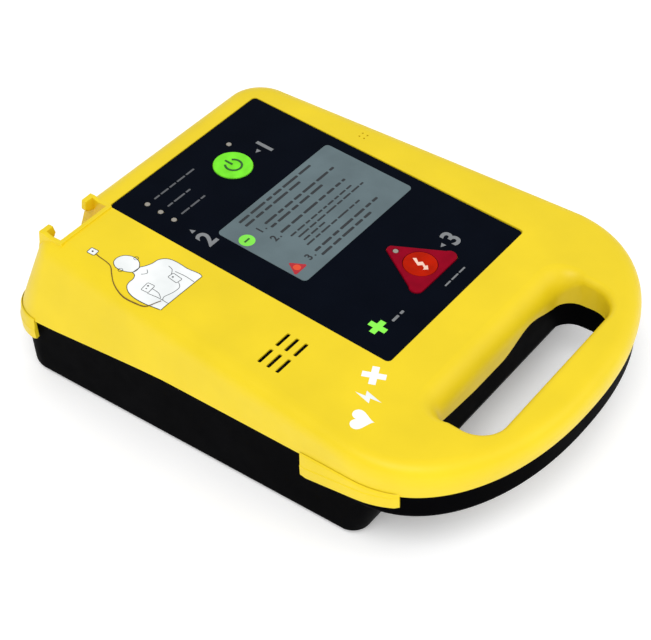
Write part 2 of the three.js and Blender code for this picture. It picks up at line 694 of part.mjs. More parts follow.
function portParts() {
  const { left, right, innerY, floorZ } = PORT;
  const pinHeight = 64;
  const pinSpread = 7.5;
  const width = right - left;
  const middle = (left + right) / 2;
  const body = block(left + GAP, right - GAP, innerY + GAP, innerY + 7, floorZ + GAP, 79);
  const recess = block(middle - width / 3, middle + width / 3, innerY + 4.5, innerY + 9, 57, 71);
  const seats = [];
  ['socket_pin_left', 'socket_pin_right'].forEach((name, i) => {
    const x = middle + (i === 0 ? -pinSpread : pinSpread);
    seats.push(post(0, 0, -1, 9, 2.6, 14).rotate([-90, 0, 0]).translate([x, innerY + 3, pinHeight]));
    const pin = turned([[0, 0], [1.5, 0], [1.5, 6.5], [1, 7.6], [0, 7.6]], 12);
    addPiece(name, pin.rotate([-90, 0, 0]).translate([x, innerY + 2.3, pinHeight]), FINISH.brass);
  });
  addPiece('electrode_socket', cut(body, recess, ...seats), FINISH.amber);
}

function capacitorParts() {
  const { x, y, z, radius, half } = CAPACITOR;
  const lying = (shape) => shape.rotate([0, 90, 0]).translate([x, y, z]);
  const can = turned([
    [0, -half], [radius - 2, -half], [radius, 1.5 - half],
    [radius, half - 1.5], [radius - 2, half], [0, half],
  ], 28);
  addPiece('high_voltage_capacitor', lying(can), FINISH.sleeve);
  const band = 6;
  const [footNear, footFar] = CLAMP_SCREWS.map(([, screwY]) => screwY);
  const clamp = cut(
    unite(
      lying(post(0, 0, -band, band, radius + 2.4, 28)),
      block(x - band, x + band, footNear - 5, footFar + 5, CLAMP_FLOOR, CLAMP_FLOOR + 2.4),
    ),
    lying(post(0, 0, -2 * band, 2 * band, radius + 0.4, 28)),
    ...CLAMP_SCREWS.map(([screwX, screwY]) => post(screwX, screwY, 0, 20, SMALL_SCREW.bore, 8)),
  );
  addPiece('capacitor_clamp', clamp, FINISH.component);
  CLAMP_SCREWS.forEach(([screwX, screwY], i) => {
    upturnedScrew(`clamp_screw_${i + 1}`, screwX, screwY, CLAMP_FLOOR + 2.4);
  });
}

// A small screw driven down from above into a post on the tray's floor.
function upturnedScrew(name, x, y, z) {
  const { shaft, head, headHeight } = SMALL_SCREW;
  const length = 4.6;
  const profile = [
    [0, -length], [shaft, -length], [shaft, GAP],
    [head, GAP], [head, headHeight + GAP], [0, headHeight + GAP],
  ];
  addPiece(name, turned(profile, 8).translate([x, y, z]), FINISH.steel);
}

function powerBoardParts() {
  const { x0, x1, y0, y1, z0, z1 } = POWER_BOARD;
  const holes = POWER_BOARD_SCREWS.map(([x, y]) => post(x, y, 0, 20, SMALL_SCREW.bore, 8));
  addPiece('high_voltage_board', cut(block(x0, x1, y0, y1, z0, z1), ...holes), FINISH.board);
  POWER_BOARD_SCREWS.forEach(([x, y], i) => upturnedScrew(`power_board_screw_${i + 1}`, x, y, z1));
  const rest = z1 + GAP;
  const core = cut(block(22, 56, -60, -30, rest, 34), block(30, 48, -60.5, -29.5, 15, 29.5));
  addPiece('transformer_core', core, FINISH.component);
  const winding = cut(block(30.4, 47.6, -62.5, -27.5, 15.4, 29.1), block(34, 44, -66, -24, 19, 25.5));
  addPiece('transformer_winding', winding, FINISH.copper);
  addPiece('output_relay', block(60, 76, -62, -40, rest, 26), FINISH.component);
  const fins = [0, 1, 2, 3, 4].map((i) => block(56 + i * 5, 58 + i * 5, -34, 10, 13, 32));
  addPiece('heatsink', unite(block(56, 78, -34, 10, rest, 13.4), ...fins), FINISH.aluminium);
}

function batteryParts() {
  const { half, innerY, bottom, top } = BATTERY;
  const { recessHalf, recessY, backY, frontY } = LATCH;
  const raw = block(-half, half, innerY, 170, bottom, top);
  const recess = block(-recessHalf, recessHalf, recessY, 170, bottom + 5, top - 4);
  addPiece('battery_pack', cut(raw.intersect(tray()), recess, ...contactSlots(0.5)), FINISH.battery);
  const latch = unite(
    block(-LATCH.half, LATCH.half, backY, frontY, bottom + 7.5, top - 5.5),
    block(-recessHalf + 0.4, recessHalf - 0.4, backY - 2.6, backY + 0.1, bottom + 6.8, bottom + 10),
    block(-10, 10, frontY - 0.4, frontY + 1.2, top - 10.5, top - 8.5),
  );
  addPiece('battery_latch', latch, FINISH.rubber);
}

function terminalParts() {
  const { spots, bladeHalf, low, high, length } = TERMINAL;
  const back = BATTERY.innerY - 2 * GAP - WALL;
  const slotHalf = bladeHalf + GAP;
  const slots = spots.map((x) => block(
    x - slotHalf, x + slotHalf, back - length, back + 1, low - GAP, high + GAP,
  ));
  addPiece('battery_terminal_block', cut(block(-20, 20, back - 7, back, 10, 30), ...slots), FINISH.component);
  ['battery_contact_left', 'battery_contact_right'].forEach((name, i) => {
    const x = spots[i];
    const blade = block(x - bladeHalf, x + bladeHalf, back - length, BATTERY.innerY + 7, low, high);
    addPiece(name, blade, FINISH.brass);
  });
}

// The rubber cord that lies on the lower half's rim, inside the wall of the upper half.
function seal() {
  const cordWidth = 1.3;
  const cordHeight = 1.8;
  const inner = WALL + GAP;
  const cord = cut(upperBody(-inner, 1), upperBody(-inner - cordWidth, 1));
  return cut(cord, partingWedge(true, GAP / 2 + cordHeight), partingWedge(false, GAP / 2));
}

function caseScrews() {
  const { shaft, head, headHeight } = SCREW;
  CASE_SCREWS.forEach(({ x, y, seat, tip }, i) => {
    const length = tip - seat;
    const profile = [
      [0, 1], [1.2, 1], [1.2, 0], [head, 0], [head, headHeight],
      [shaft, headHeight], [shaft, headHeight + length], [0, headHeight + length],
    ];
    const screw = turned(profile, 9).translate([x, y, seat - headHeight - GAP]);
    addPiece(`case_screw_${i + 1}`, screw, FINISH.steel);
  });
}

function rubberFeet() {
  const { radius, height } = FOOT;
  FOOT_SPOTS.forEach(([x, y], i) => {
    const foot = turned([[0, 0], [radius - 0.7, 0], [radius, 0.7], [radius, height], [0, height]], 14);
    addPiece(`rubber_foot_${i + 1}`, foot.translate([x, y, 0]), FINISH.rubber);
  });
}

addPiece('front_housing', frontHousing(), FINISH.yellow);
addPiece('rear_housing', rearHousing(), FINISH.black);
addPiece('housing_seal', seal(), FINISH.rubber);
cornerGuards();
keypad();
onOffButton();
shockButton();
mainBoard();
soundParts();
portParts();
capacitorParts();
powerBoardParts();
batteryParts();
terminalParts();
caseScrews();
rubberFeet();

export default device;
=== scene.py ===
"""Looks of a portable automated defibrillator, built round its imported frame."""
import json
import math
import random

import bpy
import numpy as np
from mathutils import Matrix, Vector


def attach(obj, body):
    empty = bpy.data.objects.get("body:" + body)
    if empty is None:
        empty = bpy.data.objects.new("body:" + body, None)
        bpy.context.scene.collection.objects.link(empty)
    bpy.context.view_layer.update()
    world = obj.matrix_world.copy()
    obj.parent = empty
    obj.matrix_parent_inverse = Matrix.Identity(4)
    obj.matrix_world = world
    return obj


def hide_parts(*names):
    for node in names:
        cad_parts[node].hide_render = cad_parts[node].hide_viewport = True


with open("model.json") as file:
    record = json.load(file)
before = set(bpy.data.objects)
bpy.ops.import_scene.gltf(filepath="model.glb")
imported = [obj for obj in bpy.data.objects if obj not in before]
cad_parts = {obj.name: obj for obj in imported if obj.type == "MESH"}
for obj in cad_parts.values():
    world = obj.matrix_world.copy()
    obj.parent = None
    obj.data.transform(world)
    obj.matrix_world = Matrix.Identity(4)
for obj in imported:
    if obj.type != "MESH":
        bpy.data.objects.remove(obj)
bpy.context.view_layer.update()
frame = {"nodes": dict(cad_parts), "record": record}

# Sizes, in millimetres, as in the frame --------------------------------------
GAP = 0.3
WALL = 2.8
EDGE = 0.55                            # small round on the case's moulded edges
TOP_SLOPE = math.tan(math.radians(5.5))
TOP_REF = (117.0, 86.4)
WAIST_Z = 42.0                         # the case is widest here
PARTING = dict(handle_z=46.0, port_z=41.0, bend_y=40.0, end_y=123.0)
HANDLE_UNDERSIDE = 31.0
GROUND_CLEARANCE = 1.0
SKIRT_INSET = 0.5
ARC_POWER = 2 / 2.2
FINE = dict(corner_steps=18, side_steps=14, arc_steps=44)
COARSE = dict(corner_steps=5, side_steps=3, arc_steps=12)

WAIST = dict(
    connector_half=106.1, handle_half=106.1, connector_end=149.6,
    arc_start=-84.0, handle_end=-149.5, corner_radius=23.0,
)
SHOULDER = dict(
    connector_half=91.0, handle_half=108.6, connector_end=131.0,
    arc_start=-80.0, handle_end=-153.9, corner_radius=22.0, port_radius=11.0,
)
ROUND_SIDE = 9.0
ROUND_HANDLE = 12.0

PANEL_ORIGIN = Vector((-49.0, -64.0, 68.0))
PANEL_TILT = math.radians(5.7)
PANEL_WIDTH = 122.0
PANEL_HEIGHT = 182.0
PANEL_CORNER = 2.5
PANEL_FLOOR = -1.1
PANEL_MATRIX = Matrix.Translation(PANEL_ORIGIN) @ Matrix.Rotation(PANEL_TILT, 4, "X")

GRIP = dict(
    half_length=61.5, body_side=-97.0, handle_side=-129.5,
    body_corner=11.0, handle_corner=15.0, body_flare=13.0, handle_flare=4.0, collar=2.6,
)
PORT = dict(
    left=-85.4, right=-51.0, inner_y=117.8, floor_z=50.0, rim=2.6,
    horn_tip=88.9, horn_y=(127.6, 130.9), horn_reach=6.0,
)
# The tray widens as it rises: each pair is its value at the bottom and at the waist.
TRAY = dict(half=(102.3, 105.0), far=(147.2, 148.2), near=(-81.0, -100.5), far_radius=(16.0, 22.0))
TRAY_NEAR_RADIUS = 9.0
TRAY_EDGE = dict(rise=3.2, pull=2.6)
SKIRT_EDGE = dict(rise=3.4, pull=2.4)
GUARD = dict(face=1.9, seat=-0.9, brow=7.0, over_joint=2.2, end_round=0.45)
HANDLE_GUARD = dict(ends=(-107.0, -52.0), low_y=(-106.0, -53.0), low_z=(39.5, 32.7), side=60.0)
PORT_GUARD = dict(start=124.5, low_z=29.5, side=62.0)
SLOT_COLUMNS = ((-88.6, -77.8), (-74.6, -64.2))
SLOT_ROWS = (-15.1, -20.6, -26.1)
SLOT_HALF = 1.05
GRILLE_WALL = 0.9
MICROPHONE = (84.0, 48.0)
BATTERY = dict(half=45.6, inner_y=44.0, bottom=6.6, top=35.8)
CONTACT = dict(x=9.0, half=0.6, low=15.0, high=25.0)
BUTTON_TOP = 0.9
BUTTON_UNDER = -4.8
BUTTON_STEP = -4.0
BUTTON_FLANGE = 1.2
BUTTON_GAP = 0.35
ON_OFF = (67.3, 152.9)
ON_OFF_RADIUS = 11.05
SHOCK_X = 66.7
SHOCK = dict(half=18.2, base_y=15.6, apex_y=48.6, radius=4.0)
SHOCK_DISC_Y = 27.8
SHOCK_LENS = 9.1
SHOCK_LED_Y = 43.4
LED_SPOTS = [(13.8, 167.7), (13.6, 158.2), (13.4, 148.7), (80.1, 166.4)]
LED_RADIUS = 1.5
LABEL = dict(x=19.5, y=66.0, width=95.2, height=58.5, corner=2.6)
SCREW_BORE = 1.75
SCREW_HEAD = 3.0
TRAY_SCREWS = [(-90, 118), (90, 118), (-92, -62), (92, -62)]
HANDLE_SCREWS = [(-40, -134.5), (40, -134.5)]
TRAY_SEAT = 30.0
HANDLE_SEAT = 39.0
FEET = [(-80, 112), (80, 112), (-80, -56), (80, -56)]
FOOT_RADIUS = 7.0
SHEET = 0.8                            # the membrane's thickness
LABEL_BED = -0.55                      # how deep the label lies in it
UPPER_BOSS, TRAY_BOSS, HANDLE_BOSS = 3.6, 5.2, 4.4
PIN_SPREAD = 7.5
MILLIMETRE = 0.001


# Mesh work ---------------------------------------------------------------------
def new_object(name, data):
    obj = bpy.data.objects.new(name, data)
    bpy.context.scene.collection.objects.link(obj)
    return obj


def mesh_object(name, points, faces):
    mesh = bpy.data.meshes.new(name)
    mesh.from_pydata([tuple(map(float, p)) for p in points], [], faces)
    return new_object(name, mesh)


def loft(rings):
    """A closed skin through rings of equal count, which run anticlockwise, lowest first."""
    count = len(rings[0])
    points = np.concatenate([np.asarray(ring, float) for ring in rings])
    faces = []
    for level in range(len(rings) - 1):
        for i in range(count):
            a = level * count + i
            b = level * count + (i + 1) % count
            faces.append((a, b, b + count, a + count))
    last = (len(rings) - 1) * count
    faces.append(tuple(reversed(range(count))))
    faces.append(tuple(range(last, last + count)))
    return mesh_object("draft", points, faces)


def ring_at(outline, height):
    """A 2D outline at a height, which is a number or one value for each point."""
    outline = np.asarray(outline, float)
    heights = np.broadcast_to(np.asarray(height, float), len(outline))
    return np.column_stack([outline, heights])


def prism(outline, low, high):
    return loft([ring_at(outline, low), ring_at(outline, high)])


def block(x0, x1, y0, y1, z0, z1):
    return prism([(x0, y0), (x1, y0), (x1, y1), (x0, y1)], z0, z1)


def corner_arc(cx, cy, radius, start, end, steps):
    """Points and outward normals along an arc, whose angles are in radians."""
    turns = [start + (end - start) * i / steps for i in range(steps + 1)]
    normals = [(math.cos(turn), math.sin(turn)) for turn in turns]
    return [(cx + radius * nx, cy + radius * ny) for nx, ny in normals], normals


def circle(x, y, radius, sides=64):
    turn = np.arange(sides) * 2 * math.pi / sides
    return np.column_stack([x + radius * np.cos(turn), y + radius * np.sin(turn)])


def post(x, y, z0, z1, radius, sides=32):
    return prism(circle(x, y, radius, sides), z0, z1)


def spun(points, angle):
    """2D points turned about the origin."""
    x, y = np.asarray(points, float).T
    cos, sin = math.cos(angle), math.sin(angle)
    return np.column_stack([x * cos - y * sin, x * sin + y * cos])


def grown_outline(base, normals, grow):
    return base + normals * np.broadcast_to(np.asarray(grow, float), len(base))[:, None]


def round_rect(x, y, width, height, radius, steps=8):
    """A rounded rectangle and its outward normals, anticlockwise."""
    points = []
    normals = []
    right, top = x + width - radius, y + height - radius
    left, bottom = x + radius, y + radius
    quarter = math.pi / 2
    for k, (cx, cy) in enumerate(((right, bottom), (right, top), (left, top), (left, bottom))):
        swept, facing = corner_arc(cx, cy, radius, (k - 1) * quarter, k * quarter, steps)
        points += swept
        normals += facing
    return np.array(points), np.array(normals)


def ease_steps(steps, first=0, degrees=90):
    """How far a rounded edge has pulled in and still has to rise, in fractions of its radius."""
    turns = [math.radians(degrees) * i / steps for i in range(first, steps + 1)]
    return [(1 - math.cos(turn), 1 - math.sin(turn)) for turn in turns]


def rounded_cap(base, normals, low, high, radius, steps=6):
    """A prism whose top edge is rounded."""
    rings = [ring_at(base, low), ring_at(base, high - radius)]
    for pull, rise in ease_steps(steps, 1):
        rings.append(ring_at(grown_outline(base, normals, -radius * pull), high - radius * rise))
    return loft(rings)


def rim_cutter(base, normals, floor, top, flare, drop=None, steps=8, above=40.0):
    """A cutter whose mouth flares out to meet the surface at top in a soft round."""
    drop = flare if drop is None else drop
    top = np.asarray(top, float)
    rings = [ring_at(base, floor), ring_at(base, top - drop)]
    for pull, rise in ease_steps(steps, 1, 86):
        grown = grown_outline(base, normals, np.asarray(flare) * pull)
        rings.append(ring_at(grown, top - np.asarray(drop) * rise))
    rings.append(ring_at(grown, top + above))
    return loft(rings)


def apply_modifiers(obj):
    graph = bpy.context.evaluated_depsgraph_get()
    mesh = bpy.data.meshes.new_from_object(obj.evaluated_get(graph), depsgraph=graph)
    obj.modifiers.clear()
    old = obj.data
    obj.data = mesh
    bpy.data.meshes.remove(old)
    return obj


def combine(obj, tools, operation):
    for tool in tools:
        change = obj.modifiers.new("combine", "BOOLEAN")
        change.solver = "MANIFOLD"
        change.operation = operation
        change.object = tool
    apply_modifiers(obj)
    for tool in tools:
        bpy.data.objects.remove(tool)
    return obj


def cut(obj, *tools):
    return combine(obj, tools, "DIFFERENCE")


def unite(obj, *tools):
    return combine(obj, tools, "UNION")


def keep(obj, *tools):
    return combine(obj, tools, "INTERSECT")


def soften(obj, width, segments=2, angle=35):
    """Rounds the sharp edges of a plain piece."""
    change = obj.modifiers.new("soften", "BEVEL")
    change.width = width
    change.segments = segments
    change.limit_method = "ANGLE"
    change.angle_limit = math.radians(angle)
    return apply_modifiers(obj)


def on_panel(obj):
    obj.data.transform(PANEL_MATRIX)
    return obj


def finish_piece(obj, name, slot, node=None, body="case", ink=None, crease=30):
    """Names a piece, brings it to metres, shades it, and hands it to its body."""
    obj.name = name
    obj.data.name = name
    obj.data.transform(Matrix.Scale(MILLIMETRE, 4))
    obj.data.shade_smooth()
    obj.data.set_sharp_from_angle(angle=math.radians(crease))
    obj.data.materials.clear()
    obj.data.materials.append(PRINT[ink] if ink else FINISHES[slot])
    weigh = obj.modifiers.new("even_shading", "WEIGHTED_NORMAL")
    weigh.keep_sharp = True
    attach(obj, body)
    if node:
        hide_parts(node)


# Case outlines -------------------------------------------------------------------
def top_z(y):
    return TOP_REF[1] + (np.asarray(y, float) - TOP_REF[0]) * TOP_SLOPE


def parting_z(y):
    """The joint runs level over the handle half and drops towards the port."""
    return np.interp(y, [PARTING["bend_y"], PARTING["end_y"]], [PARTING["handle_z"], PARTING["port_z"]])


def outline(spec, grow=0.0, corner_steps=18, side_steps=14, arc_steps=44):
    """The plan of the case, anticlockwise from the handle's tip. The port's corner is fuller."""
    detail = (corner_steps, side_steps, arc_steps)
    right = half_outline(spec, grow, spec["corner_radius"], *detail)
    left = half_outline(spec, grow, spec.get("port_radius", spec["corner_radius"]), *detail)
    return np.array(right + [(-x, y) for x, y in reversed(left[1:])])


def half_outline(spec, grow, corner_radius, corner_steps, side_steps, arc_steps):
    handle_half = spec["handle_half"] + grow
    connector_half = spec["connector_half"] + grow
    radius = max(corner_radius + grow, 2)
    end = spec["connector_end"] + grow
    depth = spec["arc_start"] - spec["handle_end"] + grow
    right = []
    for i in range(arc_steps):
        turn = math.pi / 2 * (1 - i / arc_steps)
        x = handle_half * math.cos(turn) ** ARC_POWER if i else 0.0
        right.append((x, spec["arc_start"] - depth * math.sin(turn) ** ARC_POWER))
    for i in range(side_steps):
        t = i / side_steps
        x = handle_half + (connector_half - handle_half) * t
        right.append((x, spec["arc_start"] + (end - radius - spec["arc_start"]) * t))
    return right + corner_arc(connector_half - radius, end - radius, radius, 0, math.pi / 2, corner_steps)[0]


def inner_outline(grow, detail):
    spec = dict(
        SHOULDER,
        connector_half=SHOULDER["connector_half"] - ROUND_SIDE,
        handle_half=SHOULDER["handle_half"] - ROUND_SIDE,
        connector_end=SHOULDER["connector_end"] - ROUND_SIDE,
        handle_end=SHOULDER["handle_end"] + ROUND_HANDLE,
        corner_radius=SHOULDER["corner_radius"] - ROUND_SIDE,
        port_radius=SHOULDER["port_radius"] - ROUND_SIDE,
    )
    return outline(spec, grow, **detail)


def wall_ring(grow, height, detail):
    """The leaning wall of the upper half at a height given for each point."""
    waist = outline(WAIST, grow, **detail)
    shoulder = outline(SHOULDER, grow, **detail)
    height = np.broadcast_to(np.asarray(height, float), len(waist))
    top = top_z(shoulder[:, 1]) + grow
    t = np.clip((height - WAIST_Z) / (top - WAIST_Z), 0, 1)[:, None]
    return np.column_stack([waist + (shoulder - waist) * t, height])


def upper_body(grow=0.0, detail=FINE, round_steps=14, edge=0.0):
    """Wall, rounded shoulder and flat sloping top. An edge curls in at the joint."""
    shoulder = outline(SHOULDER, grow, **detail)
    inner = inner_outline(grow, detail)
    top = top_z(shoulder[:, 1]) + grow
    blend = np.clip((-shoulder[:, 1] - 60) / 80, 0, 1)
    blend = blend * blend * (3 - 2 * blend)
    drop = (ROUND_SIDE + (ROUND_HANDLE - ROUND_SIDE) * blend) * 1.1
    rings = []
    if edge:
        joint = parting_z(outline(WAIST, grow, **detail)[:, 1]) + GAP / 2
        rings.append(wall_ring(grow - edge, joint - 8, detail))
        for pull, rise in ease_steps(4)[::-1]:
            rings.append(wall_ring(grow - edge * pull, joint + edge * rise, detail))
        low = joint + edge
    else:
        low = np.full(len(shoulder), WAIST_Z)
        rings.append(ring_at(outline(WAIST, grow, **detail), 30))
        rings.append(wall_ring(grow, low, detail))
    start = wall_ring(grow, top - drop, detail)
    for t in (0.33, 0.67):
        rings.append(wall_ring(grow, low + (top - drop - low) * t, detail))
    knee = ring_at(shoulder, top)
    finish = ring_at(inner, top_z(inner[:, 1]) + grow)
    for step in range(round_steps + 1):
        t = step / round_steps
        rings.append((1 - t) ** 2 * start + 2 * t * (1 - t) * knee + t * t * finish)
    return loft(rings)


def parting_wedge(above, shift):
    """Everything above, or below, the joint between the case halves."""
    far = 200.0
    high, low = PARTING["handle_z"] + shift, PARTING["port_z"] + shift
    edge = 200.0 if above else -100.0
    joint = [(-far, high), (PARTING["bend_y"], high), (PARTING["end_y"], low), (far, low)]
    section = joint + [(far, edge), (-far, edge)]
    return side_prism(section if above else section[::-1], -far, far)


def grip_base(steps=14, side_steps=32):
    """The grip slot's plan, its normals and the direction that each point faces."""
    points = []
    angles = []
    corners = [
        (1, -1, GRIP["handle_corner"], -90), (1, 1, GRIP["body_corner"], 0),
        (-1, 1, GRIP["body_corner"], 90), (-1, -1, GRIP["handle_corner"], 180),
    ]
    for sx, sy, radius, start in corners:
        cx = sx * (GRIP["half_length"] - radius)
        edge = GRIP["body_side"] if sy > 0 else GRIP["handle_side"]
        cy = edge - sy * radius
        for i in range(steps + 1):
            turn = math.radians(start + 90 * i / steps)
            angles.append(turn)
            points.append((cx + radius * math.cos(turn), cy + radius * math.sin(turn)))
        if sx == sy:
            # The long straight side that follows this corner.
            for i in range(1, side_steps):
                angles.append(turn)
                points.append((cx * (1 - 2 * i / side_steps), points[-1][1]))
    angles = np.array(angles)
    return np.array(points), np.column_stack([np.cos(angles), np.sin(angles)]), angles


def grip_column(grow, low, high, lip=None):
    base, normals, _ = grip_base()
    grown = grown_outline(base, normals, grow)
    if lip is None:
        return prism(grown, low, high)
    inside = grown_outline(base, normals, -3.0)
    top = lip_height(grown[:, 0]) + lip
    return loft([ring_at(grown, low), ring_at(grown, top), ring_at(inside, top)])


def lip_height(x):
    """Where the yellow half meets the black sleeve in the grip, in a wavy line."""
    t = np.asarray(x, float) / GRIP["half_length"]
    hump = 7.0 * np.exp(-((t - 0.45) / 0.28) ** 2)
    rise = 4.5 * np.clip(-t, 0, 1) ** 1.6
    dip = 5.5 * np.clip((t - 0.78) / 0.2, 0, 1)
    return np.maximum(45.5 + hump + rise - dip, PARTING["handle_z"] + 0.4)


def grip_flare(angles):
    facing = np.clip(np.sin(angles), 0, 1)
    return GRIP["handle_flare"] + (GRIP["body_flare"] - GRIP["handle_flare"]) * facing


def grip_cutter():
    base, normals, angles = grip_base()
    flare = grip_flare(angles)
    # The mouth reaches out as it rises, so each point's height is taken where it ends.
    reach = grown_outline(base, normals, flare)
    return rim_cutter(base, normals, 20.0, top_z(reach[:, 1]), flare, drop=flare * 1.15, steps=14)


def grip_shoulder():
    base, normals, angles = grip_base(6)
    return prism(grown_outline(base, normals, grip_flare(angles) + WALL), 47, 120)


def shock_outline(grow=0.0, steps=8):
    """A triangle with rounded corners, anticlockwise, and its normals."""
    half, base_y, apex_y, radius = (SHOCK[key] for key in ("half", "base_y", "apex_y", "radius"))
    lean = math.atan2(apex_y - base_y, half)
    low_x = half - radius / math.tan(lean / 2) + radius * 0.9
    arcs = [
        (SHOCK_X + low_x, base_y + radius, -math.pi / 2, lean),
        (SHOCK_X, apex_y - radius, lean, math.pi - lean),
        (SHOCK_X - low_x, base_y + radius, math.pi - lean, math.pi * 1.5),
    ]
    points = []
    normals = []
    for cx, cy, start, end in arcs:
        swept, facing = corner_arc(cx, cy, radius + grow, start, end, steps)
        points += swept
        normals += facing
    return np.array(points), np.array(normals)


# Finishes ------------------------------------------------------------------------
class Finish:
    """A procedural material in the making, in the object's own coordinates."""

    def __init__(self, name):
        self.material = bpy.data.materials.new(name)
        self.material.use_nodes = True
        self.tree = self.material.node_tree
        self.shader = self.tree.nodes["Principled BSDF"]
        self.place = self.tree.nodes.new("ShaderNodeTexCoord").outputs["Object"]

    def node(self, kind, **values):
        node = self.tree.nodes.new(kind)
        for key, value in values.items():
            if hasattr(node, key):
                setattr(node, key, value)
            else:
                node.inputs[key.replace("_", " ").title()].default_value = value
        return node

    def link(self, source, target):
        self.tree.links.new(source, target)

    def noise(self, size_mm, detail=2.0, roughness=0.5):
        scale = 1 / (size_mm * MILLIMETRE)
        noise = self.node("ShaderNodeTexNoise", scale=scale, detail=detail, roughness=roughness)
        self.link(self.place, noise.inputs["Vector"])
        return noise.outputs["Fac"]

    def grain(self, size_mm):
        cells = self.node("ShaderNodeTexVoronoi", scale=1 / (size_mm * MILLIMETRE))
        self.link(self.place, cells.inputs["Vector"])
        return cells.outputs["Distance"]

    def paint(self, color, pattern, *stops):
        """Base colour from a pattern. Each stop is a position and a factor on the colour."""
        ramp = self.node("ShaderNodeValToRGB")
        ends = ramp.color_ramp.elements
        for end, (position, factor) in ((ends[0], stops[0]), (ends[1], stops[-1])):
            end.position = position
            end.color = shade(color, factor)
        for position, factor in stops[1:-1]:
            ends.new(position).color = shade(color, factor)
        self.link(pattern, ramp.inputs["Fac"])
        self.link(ramp.outputs["Color"], self.shader.inputs["Base Color"])

    def gloss(self, pattern, low, high):
        """Roughness between two values, from a 0 to 1 pattern."""
        spread = self.node("ShaderNodeMapRange", from_min=0.3, from_max=0.7, to_min=low, to_max=high)
        self.link(pattern, spread.inputs["Value"])
        self.link(spread.outputs["Result"], self.shader.inputs["Roughness"])

    def bump(self, source, depth_mm, strength=1.0, after=None):
        bump = self.node("ShaderNodeBump", strength=strength, distance=depth_mm * MILLIMETRE)
        self.link(source, bump.inputs["Height"])
        if after is not None:
            self.link(after, bump.inputs["Normal"])
        self.link(bump.outputs["Normal"], self.shader.inputs["Normal"])
        return bump.outputs["Normal"]

    def set(self, **values):
        for key, value in values.items():
            self.shader.inputs[key.replace("_", " ")].default_value = value
        return self.material


def shade(color, factor):
    return tuple(min(1.0, c * factor) for c in color) + (1.0,)


def moulded(name, color, roughness, grain_mm=0.28, depth_mm=0.006, tint=0.05, **shader):
    """Injection-moulded plastic: spark-eroded grain, faint flow tint, handling smudges."""
    f = Finish(name)
    f.paint(color, f.noise(38, 3), (0.3, 1 - tint), (0.55, 1), (0.75, 1 + tint))
    f.gloss(f.noise(11, 5, 0.65), roughness - 0.06, roughness + 0.06)
    first = f.bump(f.grain(grain_mm), depth_mm, 0.6)
    f.bump(f.noise(14, 2), 0.05, 0.25, after=first)
    return f.set(**shader)


def rubber(name, color, roughness=0.75):
    f = Finish(name)
    f.paint(color, f.noise(5, 4), (0.35, 0.8), (0.7, 1.35))
    f.gloss(f.noise(3, 4), roughness - 0.1, roughness + 0.1)
    f.bump(f.noise(0.35, 3), 0.03, 0.8)
    return f.material


def metal(name, color, roughness, along="Y"):
    """Metal with fine drawn streaks."""
    f = Finish(name)
    stretch = f.node("ShaderNodeMapping")
    stretch.inputs["Scale"].default_value = [0.05 if axis == along else 1 for axis in "XYZ"]
    f.link(f.place, stretch.inputs["Vector"])
    streaks = f.node("ShaderNodeTexNoise", scale=1 / (0.3 * MILLIMETRE), detail=3.0)
    f.link(stretch.outputs["Vector"], streaks.inputs["Vector"])
    streaks = streaks.outputs["Fac"]
    f.paint(color, streaks, (0.3, 0.82), (0.7, 1.1))
    f.gloss(streaks, roughness - 0.08, roughness + 0.12)
    f.bump(streaks, 0.01, 0.5)
    return f.set(Metallic=1.0)


def film(name, color, roughness, **shader):
    """Printed plastic film with a faint orange-peel skin."""
    f = Finish(name)
    f.paint(color, f.noise(22, 3), (0.3, 0.9), (0.7, 1.12))
    f.gloss(f.noise(9, 5, 0.7), roughness - 0.05, roughness + 0.07)
    first = f.bump(f.grain(0.22), 0.003, 0.5)
    f.bump(f.noise(6, 2), 0.02, 0.3, after=first)
    return f.set(**shader)


def glowing(name, color, roughness, light):
    """A tinted translucent cap with a faint, even emission that is a painted glow, not a lamp."""
    f = Finish(name)
    f.paint(color, f.noise(7, 2), (0.3, 0.86), (0.7, 1.1))
    f.gloss(f.noise(4, 4), roughness - 0.05, roughness + 0.05)
    f.bump(f.noise(0.5, 3), 0.006, 0.4)
    # The emission is a painted glow, even over the whole cap.
    return f.set(Emission_Color=shade(color, 1), Emission_Strength=light, Specular_IOR_Level=0.03)


def circuit(name, color):
    """Solder mask over faint square-set tracks."""
    f = Finish(name)
    tracks = f.node(
        "ShaderNodeTexBrick", scale=1 / (9 * MILLIMETRE), mortar_size=0.04,
        color1=shade(color, 1.0), color2=shade(color, 0.8), mortar=shade(color, 1.9),
    )
    f.link(f.place, tracks.inputs["Vector"])
    f.link(tracks.outputs["Color"], f.shader.inputs["Base Color"])
    f.gloss(f.noise(4, 3), 0.35, 0.55)
    f.bump(tracks.outputs["Fac"], 0.03, 0.6)
    return f.material


